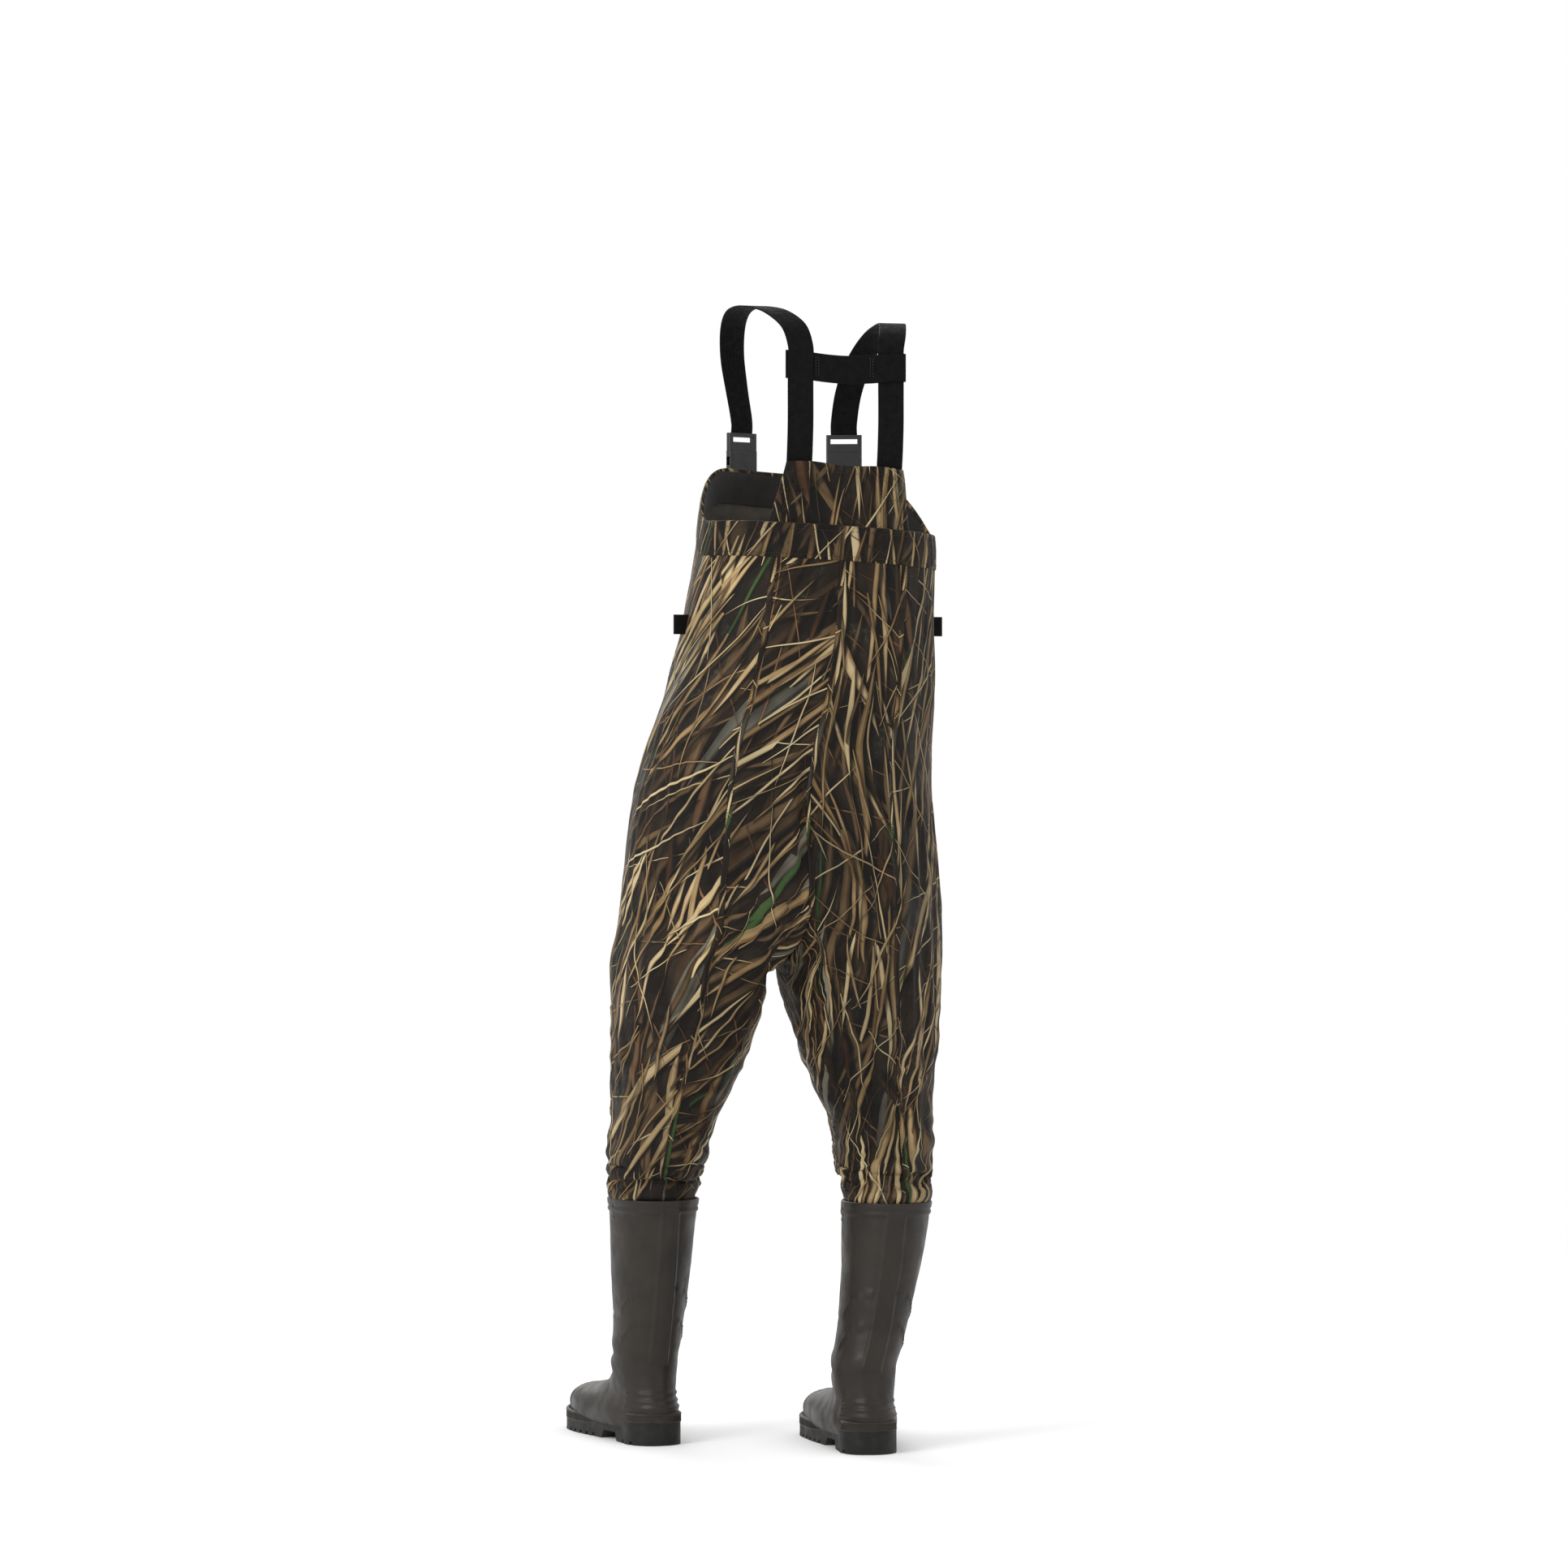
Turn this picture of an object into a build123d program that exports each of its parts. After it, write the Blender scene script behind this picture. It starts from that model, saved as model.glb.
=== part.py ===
from build123d import *
import os
from math import cos, radians, sin

# Chest waders, as worn by a standing adult about 1.8 m tall: heights above the floor, in mm.
# Front is -Y, the wearer's left is +X. Everything is laid out about a point on the floor below
# the hips, and then moved so that the middle of the whole footprint is the origin.
ORIGIN_SHIFT = (-4.4, 94.3)

CROTCH_Z = 690
CLOTH = 2.5            # waterproof shell fabric with its inner coating
GAP = 0.3              # clearance between pieces that belong to different bodies
BACK_HEM_Z = 1263
FRONT_HEM_Z = 1345
HEM_TILT = 3           # degrees: the chest leans towards the wearer's right
HEM_DEPTH = 47
KNEE_Z = 530
KNEE_HALF = 85         # the knee section reaches this far above and below the joint
THIGH_END_Z = KNEE_Z + KNEE_HALF
SHIN_START_Z = KNEE_Z - KNEE_HALF
SEAM_OFFSET = 92       # back side seams, from the centre-back seam
TAPE_HALF = 11
# How far the layers inside the hem lie within the shell's outer face: near side, far side.
HEM_ELASTIC_INSET = (2.7, 3.9)
HEM_FACING_INSET = (4.1, 5.1)
YOKE_INSET = 5.3

# Torso: height, centre x, half width, half depth.
TORSO = [
    (690, 6, 226, 128),
    (738, 6, 231, 142),
    (784, 5, 229, 149),
    (845, 5, 222, 148),
    (907, 4, 211, 142),
    (967, -5, 199, 138),
    (1033, -22, 187, 134),
    (1111, -35, 178, 130),
    (1190, -42, 171, 127),
    (1263, -47, 165, 124),
    (1365, -51, 156, 119),
]
# Legs: height, centre x, centre y, half width, half depth.
LEFT_LEG = [
    (820, 118, -6, 104, 122),
    (740, 124, -12, 107, 121),
    (672, 130, -20, 110, 118),
    (605, 133, -34, 101, 108),
    (560, 140, -44, 96, 100),
    (515, 147, -54, 86, 92),
    (471, 153, -62, 77, 84),
    (426, 158, -70, 71, 79),
    (381, 162, -77, 65, 75),
    (352, 163, -85, 56, 69),
    (300, 163, -88, 50, 62),
]
RIGHT_LEG = [
    (820, -104, 4, 106, 122),
    (740, -106, 6, 110, 121),
    (672, -107, 8, 113, 118),
    (605, -111, 20, 105, 108),
    (560, -112, 28, 97, 100),
    (515, -112, 36, 86, 92),
    (471, -118, 43, 75, 84),
    (426, -123, 50, 67, 79),
    (381, -125, 56, 62, 74),
    (352, -127, 66, 55, 68),
    (300, -122, 69, 50, 62),
]

# Boots, about the middle of the ankle: left foot, toes towards -Y.
BOOT_TOP_Z = 340
BOOT_WALL = 3.5
LINING = 4
CUFF_DEPTH = 18
# Shaft: height, centre y, half width, half depth, share of the shaft's lean.
SHAFT = [
    (340, 0, 60, 75, 1.0),
    (250, 0, 54, 67, 0.75),
    (165, 0, 47, 59, 0.35),
    (115, 1, 44, 57, 0.0),
    (70, 5, 38, 56, 0.0),
    (46, 7, 31.8, 56, 0.0),
    (8, 7, 31.2, 56, 0.0),
]
# Foot: distance along the foot, outer side, inner side, height of the top.
FOOT = [
    (45, 37, 36, 96),
    (10, 39, 37, 117),
    (-30, 41, 38, 121),
    (-70, 46, 43, 102),
    (-110, 52, 49, 87),
    (-150, 55, 52, 75),
    (-190, 50, 51, 64),
    (-216, 36, 40, 53),
    (-230, 20, 27, 43),
    (-236, 8, 15, 36),
]
HEEL_BACK_Y = 70
TOE_TIP = (-4, -238)
SOLE_MIDDLE_Y = (HEEL_BACK_Y + TOE_TIP[1]) / 2
HEEL_CORNER = (25, 62)
FOOT_CENTRE_Z = 24
RAND_THICKNESS = 4
RAND_HEIGHT = 13
FOOT_CLEARANCE = 1.6     # between the rand and the foot inside it
INSOLE_TOE_Y = -218
INSOLE_CLEARANCE = 7
# Top of the outsole in side view, from behind the heel to beyond the toe: y, z.
SOLE_TOP = [(90, 31), (5, 31), (-22, 25), (-60, 20), (-110, 16), (-190, 16), (-260, 22)]
GROOVE_WIDTH = 6
GROOVE_DEPTH = 5
FOREFOOT_GROOVES = [-82 - 19 * i for i in range(8)]
HEEL_GROOVES = [18, 44]
SHANK = (16, 84, 1.4)
TOE_CAP_Y = -168

# Each boot: ankle x, ankle y, turn in degrees, shaft lean x, shaft lean y, +1 for the left foot.
BOOTS = {
    "left": (168, -107, 3, -4, 22, 1),
    "right": (-86, 86, -7, -38, -24, -1),
}
LEGS = {"left": LEFT_LEG, "right": RIGHT_LEG}

# Suspenders.
STRAP_WIDTH = 37
STRAP_THICKNESS = 2
STRAP_BACK_Y = 119
STRAP_STRAIGHT = (1400, 1508)
STRAP_FOOT = (108.5, 1325)
YOKE_TOP_Z = 1347
YOKE_TOP_HALF = 84
YOKE_BOTTOM_Z = 1236
YOKE_BOTTOM_HALF = 108
YOKE_THICKNESS = 2.5
YOKE_X = -50
CROSS_Z = 1483
CROSS_HEIGHT = 40
SLEEVE_WALL = 1.8
# Route of each strap over the shoulder, from the straight run on the back to the front.
SHOULDERS = {
    "left": [(15, 119, 1508), (22, 109, 1536), (38, 80, 1557), (53, 43, 1566), (60, 8, 1567),
             (60, -28, 1560), (55, -62, 1540), (46, -91, 1506), (34, -110, 1465), (24, -118, 1420)],
    "right": [(-115, 119, 1508), (-121, 108, 1527), (-131, 80, 1541), (-142, 44, 1547),
              (-147, 9, 1547), (-147, -28, 1540), (-142, -62, 1521), (-135, -90, 1492),
              (-129, -107, 1457), (-126, -115, 1420)],
}

# Side-release buckles, about the middle of the socket.
BUCKLE_Z = 1362
BUCKLE_TURN = 23
BUCKLE_WIDTH = 50
SOCKET_THICKNESS = 11
SOCKET_HALF_HEIGHT = 16
CLIP_THICKNESS = 9
CLIP_HEIGHT = 24
PRONG_LENGTH = 16
STRAP_END_IN_CLIP = 20

# Chest pocket.
POCKET_WIDTH = 180
POCKET_Z = (1118, 1282)
POCKET_FRONT_Y = -139
POCKET_WALL = 2.2
POCKET_CENTRE_X = -44
MOUTH_WIDTH = 150
MOUTH_Z = (1236, 1260)
FLAP_Z = (1210, 1270)
FLAP_THICKNESS = 2
TAPE_SIZE = (120, 1.2, 16)

# Side tabs.
TAB_SIZE = (17, 4.5, 27)
TAB_Z = 1131
TAB_X = {"left": 150.6, "right": -222.8}


def ring(z, x, y, half_width, half_depth):
    """One level section of the cloth."""
    return Pos(x, y, z) * Ellipse(half_width, half_depth)


def torso_solid(inset=0.0):
    return loft([ring(z, x, 0, a - inset, b - inset) for z, x, a, b in TORSO], ruled=True)


def leg_solid(side, inset=0.0):
    return loft([ring(z, x, y, a - inset, b - inset) for z, x, y, a, b in LEGS[side]], ruled=True)


def side_profile(points):
    """A region given in side view (y, z), wide enough to hold everything."""
    return extrude(Plane.YZ * make_face(Polyline(*points, close=True)), 600, both=True)


def front_profile(points):
    """A region given in front view (x, z), deep enough to hold everything."""
    return extrude(Plane.XZ * make_face(Polyline(*points, close=True)), 600, both=True)


def slab(z_low, z_high):
    return Pos(0, 0, (z_low + z_high) / 2) * Box(1400, 1400, z_high - z_low)


def below_hem(drop=0.0):
    """Everything under the top hem: level at the back, rising to the bib at the front."""
    back = BACK_HEM_Z - drop
    front = FRONT_HEM_Z - drop
    edge = Spline((20, back), (-40, (back + front) / 2), (-100, front), tangents=((-1, 0), (-1, 0)))
    outline = [
        Line((-400, 0), (400, 0)),
        Line((400, 0), (400, back)),
        Line((400, back), (20, back)),
        edge,
        Line((-100, front), (-400, front)),
        Line((-400, front), (-400, 0)),
    ]
    region = extrude(Plane.YZ * make_face(outline), 600, both=True)
    pivot = Pos(-47, 0, BACK_HEM_Z)
    return pivot * Rot(0, -HEM_TILT, 0) * pivot.inverse() * region


def centre_line():
    return [(x, z) for z, x, _, _ in TORSO]


def half_of_body(sign):
    """The side of the centre seam that lies towards sign * X."""
    seam = [(8, 0)] + centre_line() + [(-53, 1500)]
    return front_profile(seam + [(sign * 600, 1500), (sign * 600, 0)])


def back_region(side):
    """Inner part of the back of one half, between the centre seam and the back side seam."""
    sign = 1 if side == "left" else -1
    seam = [(x + sign * SEAM_OFFSET, z) for z, x, _, _ in TORSO]
    outline = [(seam[0][0], 0)] + seam + [(seam[-1][0], 1500), (-sign * 600, 1500), (-sign * 600, 0)]
    return front_profile(outline) & Pos(0, 600, 700) * Box(1400, 1200, 1700)


def seam_strip(offset):
    """A strip as wide as the seam tape along a seam that runs parallel to the centre line."""
    left = [(x + offset - TAPE_HALF, z) for z, x, _, _ in TORSO]
    right = [(x + offset + TAPE_HALF, z) for z, x, _, _ in reversed(TORSO)]
    return front_profile(left + right) & slab(CROTCH_Z + 20, BACK_HEM_Z - HEM_DEPTH - 10)


def torso_shell(outer, inner):
    return torso_solid(outer) - torso_solid(inner)


def shell_nodes():
    """Shell panels, seam tapes, hem and yoke."""
    nodes = {}
    shell = torso_shell(0, CLOTH) & below_hem()
    for side, sign in (("left", 1), ("right", -1)):
        half = shell & half_of_body(sign)
        back = back_region(side)
        nodes[side + "_back_panel"] = half & back
        nodes[side + "_front_panel"] = half - back
    tape = torso_shell(CLOTH + 0.1, CLOTH + 0.6) & Pos(0, 600, 700) * Box(1400, 1200, 1700)
    nodes["centre_seam_tape"] = tape & seam_strip(0)
    nodes["left_seam_tape"] = tape & seam_strip(SEAM_OFFSET)
    nodes["right_seam_tape"] = tape & seam_strip(-SEAM_OFFSET)
    facing = below_hem() - below_hem(HEM_DEPTH)
    nodes["hem_facing"] = torso_shell(*HEM_FACING_INSET) & facing
    elastic = below_hem(8) - below_hem(HEM_DEPTH - 9)
    nodes["hem_elastic"] = torso_shell(*HEM_ELASTIC_INSET) & elastic & Pos(0, 630, 700) * Box(1400, 1200, 1700)
    yoke_outline = [
        (YOKE_X - YOKE_BOTTOM_HALF, YOKE_BOTTOM_Z),
        (YOKE_X + YOKE_BOTTOM_HALF, YOKE_BOTTOM_Z),
        (YOKE_X + YOKE_TOP_HALF, YOKE_TOP_Z),
        (YOKE_X - YOKE_TOP_HALF, YOKE_TOP_Z),
    ]
    behind = Pos(0, 600, 700) * Box(1400, 1200, 1700)
    nodes["back_yoke"] = torso_shell(YOKE_INSET, YOKE_INSET + YOKE_THICKNESS) & front_profile(yoke_outline) & behind
    nodes["crotch_gusset"] = crotch_gusset()
    for side in LEGS:
        tube = leg_solid(side) - leg_solid(side, CLOTH)
        nodes[side + "_thigh"] = tube & slab(THIGH_END_Z, CROTCH_Z - CLOTH - 0.2)
        nodes[side + "_knee_fabric"] = tube & slab(SHIN_START_Z, THIGH_END_Z - GAP)
        nodes[side + "_shin_fabric"] = tube & slab(302, SHIN_START_Z)
        _, _, knee_y, _, _ = LEGS[side][5]
        patch = leg_solid(side, -1.8) - leg_solid(side, -0.1)
        front = Pos(0, knee_y - 340, KNEE_Z) * Box(1400, 600, 150)
        nodes[side + "_knee_patch"] = patch & front
    return nodes


def crotch_gusset():
    """The piece between the thighs that closes the bottom of the torso, with a hole for each leg."""
    _, x, half_width, half_depth = TORSO[0]
    piece = ring(0, x, 0, half_width, half_depth)
    for side in LEGS:
        _, leg_x, leg_y, leg_width, leg_depth = LEGS[side][2]
        piece -= ring(0, leg_x, leg_y, leg_width - CLOTH, leg_depth - CLOTH)
    return Pos(0, 0, CROTCH_Z - CLOTH - 0.1) * extrude(piece, CLOTH)


def shaft_solid(boot, inset=0.0):
    """Upright part of one boot in its own frame, leaning with the shin."""
    _, _, _, lean_x, lean_y, _ = BOOTS[boot]
    return loft([ring(z, lean_x * share, y + lean_y * share, a - inset, b - inset)
                 for z, y, a, b, share in SHAFT], ruled=True)


def foot_solid(inset=0.0, sign=1):
    """Foot part of one boot: upright oval sections from the ankle to the toe."""
    sections = []
    margin = RAND_THICKNESS + FOOT_CLEARANCE + inset
    for y, outer, inner, top in FOOT:
        middle = sign * (outer - inner) / 2
        half_width = (outer + inner) / 2 - margin
        at_y = SOLE_MIDDLE_Y + (y - SOLE_MIDDLE_Y) * (1 - margin / (SOLE_MIDDLE_Y - TOE_TIP[1]))
        place = Plane((middle, at_y, FOOT_CENTRE_Z), x_dir=(1, 0, 0), z_dir=(0, -1, 0))
        sections.append(place * Ellipse(half_width, top - FOOT_CENTRE_Z - inset))
    return loft(sections, ruled=True)


def sole_outline(sign, inset=0.0):
    """Plan of the outsole; the inner side is the straighter one."""
    corner_x, corner_y = HEEL_CORNER
    outer = [(corner_x, corner_y)] + [(outer, y) for y, outer, _, _ in FOOT]
    inner = [(-inner, y) for y, _, inner, _ in reversed(FOOT)] + [(-corner_x, corner_y)]
    points = []
    for x, y in [(0, HEEL_BACK_Y)] + outer + [TOE_TIP] + inner:
        narrower = 1 - inset / max(abs(x), 2 * inset + 1)
        shorter = 1 - inset / (SOLE_MIDDLE_Y - TOE_TIP[1])
        points.append((sign * x * narrower, SOLE_MIDDLE_Y + (y - SOLE_MIDDLE_Y) * shorter))
    return make_face(Spline(*points, periodic=True))


def above_sole(rise):
    """Everything more than rise above the top of the outsole."""
    line = [(y, z + rise) for y, z in SOLE_TOP]
    return side_profile(line + [(-260, 600), (90, 600)])


def boot_nodes(boot):
    _, _, _, _, _, sign = BOOTS[boot]
    outline = sole_outline(sign)
    outer = shaft_solid(boot) + foot_solid(0, sign)
    inner = shaft_solid(boot, BOOT_WALL) + foot_solid(BOOT_WALL, sign)
    nodes = {"boot_upper": (outer - inner) & above_sole(0)}
    cuff = shaft_solid(boot, -2.2) - shaft_solid(boot, -0.1)
    nodes["boot_cuff"] = cuff & slab(BOOT_TOP_Z - CUFF_DEPTH, BOOT_TOP_Z)
    nodes["back_stay"] = cuff & slab(112, BOOT_TOP_Z - CUFF_DEPTH) & Pos(-4, 70, 0) * Box(28, 140, 900)
    lining = shaft_solid(boot, BOOT_WALL + 0.3) - shaft_solid(boot, BOOT_WALL + LINING)
    nodes["boot_lining"] = lining & slab(126, 296)
    outsole = extrude(outline, 40) & side_profile([(90, 0)] + SOLE_TOP + [(-260, 12), (-190, 0)])
    outsole -= side_profile([(-8, -1), (-14, 12), (-50, 12), (-60, -1)])
    for y in FOREFOOT_GROOVES + HEEL_GROOVES:
        outsole -= Pos(0, y, GROOVE_DEPTH / 2 - 0.5) * Box(200, GROOVE_WIDTH, GROOVE_DEPTH + 1)
    shank_width, shank_length, shank_thickness = SHANK
    pocket = Pos(0, -10, 15.4)
    outsole -= pocket * Box(shank_width + 0.4, shank_length + 0.4, shank_thickness + 0.4)
    nodes["outsole"] = outsole
    nodes["shank"] = pocket * Box(shank_width, shank_length, shank_thickness)
    plan = extrude(outline, 80)
    inside = extrude(sole_outline(sign, RAND_THICKNESS), 80)
    nodes["rand"] = (plan - inside) & (above_sole(0.05) - above_sole(RAND_HEIGHT))
    insole = extrude(sole_outline(sign, RAND_THICKNESS + BOOT_WALL + INSOLE_CLEARANCE), 80)
    insole &= Pos(0, INSOLE_TOE_Y + 200, 40) * Box(200, 400, 200)
    nodes["insole"] = insole & (above_sole(0.2) - above_sole(5.2))
    toe = (foot_solid(-1.6, sign) - foot_solid(-0.1, sign)) & above_sole(RAND_HEIGHT + 0.2)
    nodes["toe_cap"] = toe & Pos(0, TOE_CAP_Y - 200, 100) * Box(400, 400, 400)
    x, y, turn, _, _, _ = BOOTS[boot]
    place = Pos(x, y, 0) * Rot(0, 0, turn)
    return {boot + "_" + name: place * solid for name, solid in nodes.items()}


def strap_section(point, tangent, turn):
    """A strap's cross-section at a point of its route, its width turned about Z."""
    across = Vector(cos(radians(turn)), sin(radians(turn)), 0)
    across = across - tangent * across.dot(tangent)
    return Plane(point, x_dir=across, z_dir=tangent) * Rectangle(STRAP_WIDTH, STRAP_THICKNESS)


def blend(low, high, share):
    return low + (high - low) * share


def suspender(side, sign):
    """One webbing suspender, from the yoke over the shoulder to its buckle."""
    route = SHOULDERS[side]
    back_x = route[0][0]
    low, high = STRAP_STRAIGHT
    foot_y, foot_z = STRAP_FOOT
    twist = Spline((back_x, foot_y, foot_z), (back_x, foot_y + 4, foot_z + 32), (back_x, STRAP_BACK_Y, low),
                   tangents=((0, 0, 1), (0, 0, 1)))
    strap = loft([strap_section(twist @ t, twist % t, blend(-20 * sign, 0, t)) for t in (0, 0.3, 0.65, 1)],
                 ruled=True)
    strap += Pos(back_x, STRAP_BACK_Y, (low + high) / 2) * Box(STRAP_WIDTH, STRAP_THICKNESS, high - low)
    over = Spline(*route, tangents=((0, 0, 1), (0, 0, -1)))
    steps = [i / 12 for i in range(13)]
    # Over the shoulder and down the front, the strap turns to lie flat on the chest.
    strap += loft([strap_section(over @ t, over % t, blend(0, BUCKLE_TURN * sign, max(0, 2 * t - 1)))
                   for t in steps], ruled=True)
    end_x, end_y, end_z = route[-1]
    length = end_z - (BUCKLE_Z + SOCKET_HALF_HEIGHT + GAP + STRAP_END_IN_CLIP)
    strap += Pos(end_x, end_y, end_z - length / 2) * Rot(0, 0, BUCKLE_TURN * sign) * Box(
        STRAP_WIDTH, STRAP_THICKNESS, length)
    return strap


def buckle_nodes(side, sign):
    end_x, end_y, _ = SHOULDERS[side][-1]
    place = Pos(end_x, end_y, BUCKLE_Z) * Rot(0, 0, BUCKLE_TURN * sign)
    half = SOCKET_HALF_HEIGHT
    socket = fillet(Box(BUCKLE_WIDTH, SOCKET_THICKNESS, 2 * half).edges().filter_by(Axis.Z), 3)
    socket -= Pos(0, 0, 4) * Box(BUCKLE_WIDTH - 9, 6, 2 * half)
    for hand in (-1, 1):
        socket -= Pos(hand * BUCKLE_WIDTH / 2, 0, 1) * Box(12, 7, 12)
    socket += Pos(0, 0, -half - 5) * Box(BUCKLE_WIDTH, 7, 10)
    socket -= Pos(0, 0, -half - 3) * Box(STRAP_WIDTH + 3, 20, 5)
    bottom = half + GAP
    clip = Pos(0, 0, bottom + CLIP_HEIGHT / 2) * Box(BUCKLE_WIDTH, CLIP_THICKNESS, CLIP_HEIGHT)
    clip = fillet(clip.edges().filter_by(Axis.Z), 2.5)
    clip -= Pos(0, 0, bottom + CLIP_HEIGHT / 2) * Box(STRAP_WIDTH + 1.2, 3.2, CLIP_HEIGHT + 2)
    clip -= Pos(0, 0, bottom + CLIP_HEIGHT * 0.62) * Box(STRAP_WIDTH + 1.2, 30, 7)
    prong_x = BUCKLE_WIDTH / 2 - 4.5 - 4
    for hand in (-1, 1):
        clip += Pos(hand * prong_x, 0, bottom - PRONG_LENGTH / 2) * Box(6, 5, PRONG_LENGTH)
    # Webbing that is sewn to the bib and turns round the bar of the socket.
    bar_z = -half - 7.75
    sewn = -72
    anchor = Pos(0, 4.55, (sewn + bar_z) / 2) * Box(STRAP_WIDTH, 1.3, bar_z - sewn)
    loop = extrude(Plane.YZ * (Pos(0, bar_z) * (RectangleRounded(10.4, 7.6, 3.2) - Rectangle(7.8, 4.9))),
                   STRAP_WIDTH / 2, both=True)
    return {
        side + "_buckle_socket": place * socket,
        side + "_buckle_clip": place * clip,
        side + "_buckle_anchor": place * (loop + anchor),
    }


def cross_strap():
    """The strap between the suspenders, with a sleeve round each of them."""
    left_x = SHOULDERS["left"][0][0]
    right_x = SHOULDERS["right"][0][0]
    room_x = STRAP_WIDTH + 1.2
    room_y = STRAP_THICKNESS + 1.4
    middle = (left_x + right_x) / 2
    piece = Pos(middle, 0, 0) * Box(left_x - right_x - room_x, 2.4, CROSS_HEIGHT - 2)
    for x in (left_x, right_x):
        sleeve = Box(room_x + 2 * SLEEVE_WALL, room_y + 2 * SLEEVE_WALL, CROSS_HEIGHT)
        piece += Pos(x, 0, 0) * sleeve
    for x in (left_x, right_x):
        piece -= Pos(x, 0, 0) * Box(room_x, room_y, CROSS_HEIGHT + 2)
    return Pos(0, STRAP_BACK_Y, CROSS_Z) * piece


def pocket_nodes():
    low, high = POCKET_Z
    mouth_low, mouth_high = MOUTH_Z
    flap_low, flap_high = FLAP_Z
    x = POCKET_CENTRE_X
    depth = 80
    outer = Pos(x, POCKET_FRONT_Y + depth / 2, (low + high) / 2) * Box(POCKET_WIDTH, depth, high - low)
    inner = Pos(x, POCKET_FRONT_Y + POCKET_WALL + depth / 2, (low + high) / 2) * Box(
        POCKET_WIDTH - 2 * POCKET_WALL, depth, high - low - 2 * POCKET_WALL)
    hollow = inner - torso_solid(-GAP - POCKET_WALL)
    mouth = Pos(x, POCKET_FRONT_Y, (mouth_low + mouth_high) / 2) * Box(MOUTH_WIDTH, 12, mouth_high - mouth_low)
    pocket = (outer - torso_solid(-GAP)) - hollow - mouth
    face = POCKET_FRONT_Y
    binding = Pos(x, face - 1.15, flap_high + 3) * Box(POCKET_WIDTH, 2.2, 16)
    loop_tape = Pos(x, face - 0.65, flap_low + 12) * Box(*TAPE_SIZE)
    hook_tape = Pos(x, face - 2.2, flap_low + 12) * Box(*TAPE_SIZE)
    flap = Pos(x, face - 3.9, (flap_low + flap_high) / 2) * Box(
        POCKET_WIDTH + 4, FLAP_THICKNESS, flap_high - flap_low - 2 * GAP)
    return {
        "chest_pocket": pocket,
        "flap_binding": binding,
        "pocket_loop_tape": loop_tape,
        "flap_hook_tape": hook_tape,
        "pocket_flap": flap,
    }


def side_tabs():
    """Folded webbing tabs that stand out from the sides, below the hem."""
    tab = fillet(Box(*TAB_SIZE).edges().filter_by(Axis.Z), 1.5)
    return {side + "_side_tab": Pos(x, 0, TAB_Z) * tab for side, x in TAB_X.items()}


nodes = shell_nodes()
nodes.update(pocket_nodes())
nodes.update(side_tabs())
nodes["cross_strap"] = cross_strap()
for side, sign in (("left", 1), ("right", -1)):
    nodes[side + "_suspender"] = suspender(side, sign)
    nodes.update(buckle_nodes(side, sign))
for boot in BOOTS:
    nodes.update(boot_nodes(boot))

os.makedirs("parts", exist_ok=True)
shift = Pos(ORIGIN_SHIFT[0], ORIGIN_SHIFT[1], 0)
for name, solid in nodes.items():
    export_step(shift * solid, "parts/" + name + ".step")
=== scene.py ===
import math

import bmesh
import bpy
import numpy as np
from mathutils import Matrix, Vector, noise
from mathutils.bvhtree import BVHTree


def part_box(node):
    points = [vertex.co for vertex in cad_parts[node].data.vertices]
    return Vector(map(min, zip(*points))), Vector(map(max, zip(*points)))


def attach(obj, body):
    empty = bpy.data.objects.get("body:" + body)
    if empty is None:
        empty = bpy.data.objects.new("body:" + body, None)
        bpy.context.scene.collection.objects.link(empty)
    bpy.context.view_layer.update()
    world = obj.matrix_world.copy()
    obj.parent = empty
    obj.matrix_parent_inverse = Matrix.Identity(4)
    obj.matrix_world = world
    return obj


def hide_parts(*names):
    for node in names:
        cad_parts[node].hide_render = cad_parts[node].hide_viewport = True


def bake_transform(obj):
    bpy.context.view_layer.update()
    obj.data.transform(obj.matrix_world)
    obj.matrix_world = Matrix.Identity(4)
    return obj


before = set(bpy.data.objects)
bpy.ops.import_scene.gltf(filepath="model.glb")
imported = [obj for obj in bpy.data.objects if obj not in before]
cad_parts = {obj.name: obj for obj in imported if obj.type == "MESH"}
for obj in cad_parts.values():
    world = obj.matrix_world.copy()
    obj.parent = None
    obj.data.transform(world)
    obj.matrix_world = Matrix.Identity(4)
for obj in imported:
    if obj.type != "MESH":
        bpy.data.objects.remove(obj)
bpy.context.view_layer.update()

# Everything below is in metres, in the row's frame. The hips stand over HIP on the floor.
HIP = np.array([-0.0044, 0.0943, 0.0])
PHOTO_AZIMUTH = math.radians(162)
CAMERA_DISTANCE = 8.0
FRAME_WIDTH = 2.164
EYE_HEIGHT = 0.912

BACK_HEM = 1.263
FRONT_HEM = 1.345
HEM_TILT = math.radians(3)
HEM_DEPTH = 0.047
LEG_END = 0.322          # the cloth ends inside the boots
SHELL_THICKNESS = 0.0016
FORM_INSET = 0.014       # between the cloth and the wearer

# Torso: height, centre x, half width, half depth (as in the CAD model, in metres).
TORSO = [
    (0.745, 0.006, 0.231, 0.143),
    (0.784, 0.005, 0.229, 0.149),
    (0.845, 0.005, 0.222, 0.148),
    (0.907, 0.004, 0.211, 0.142),
    (0.967, -0.005, 0.199, 0.138),
    (1.033, -0.022, 0.187, 0.134),
    (1.111, -0.035, 0.178, 0.130),
    (1.190, -0.042, 0.171, 0.127),
    (1.263, -0.047, 0.165, 0.124),
    (1.365, -0.051, 0.156, 0.119),
]
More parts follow.
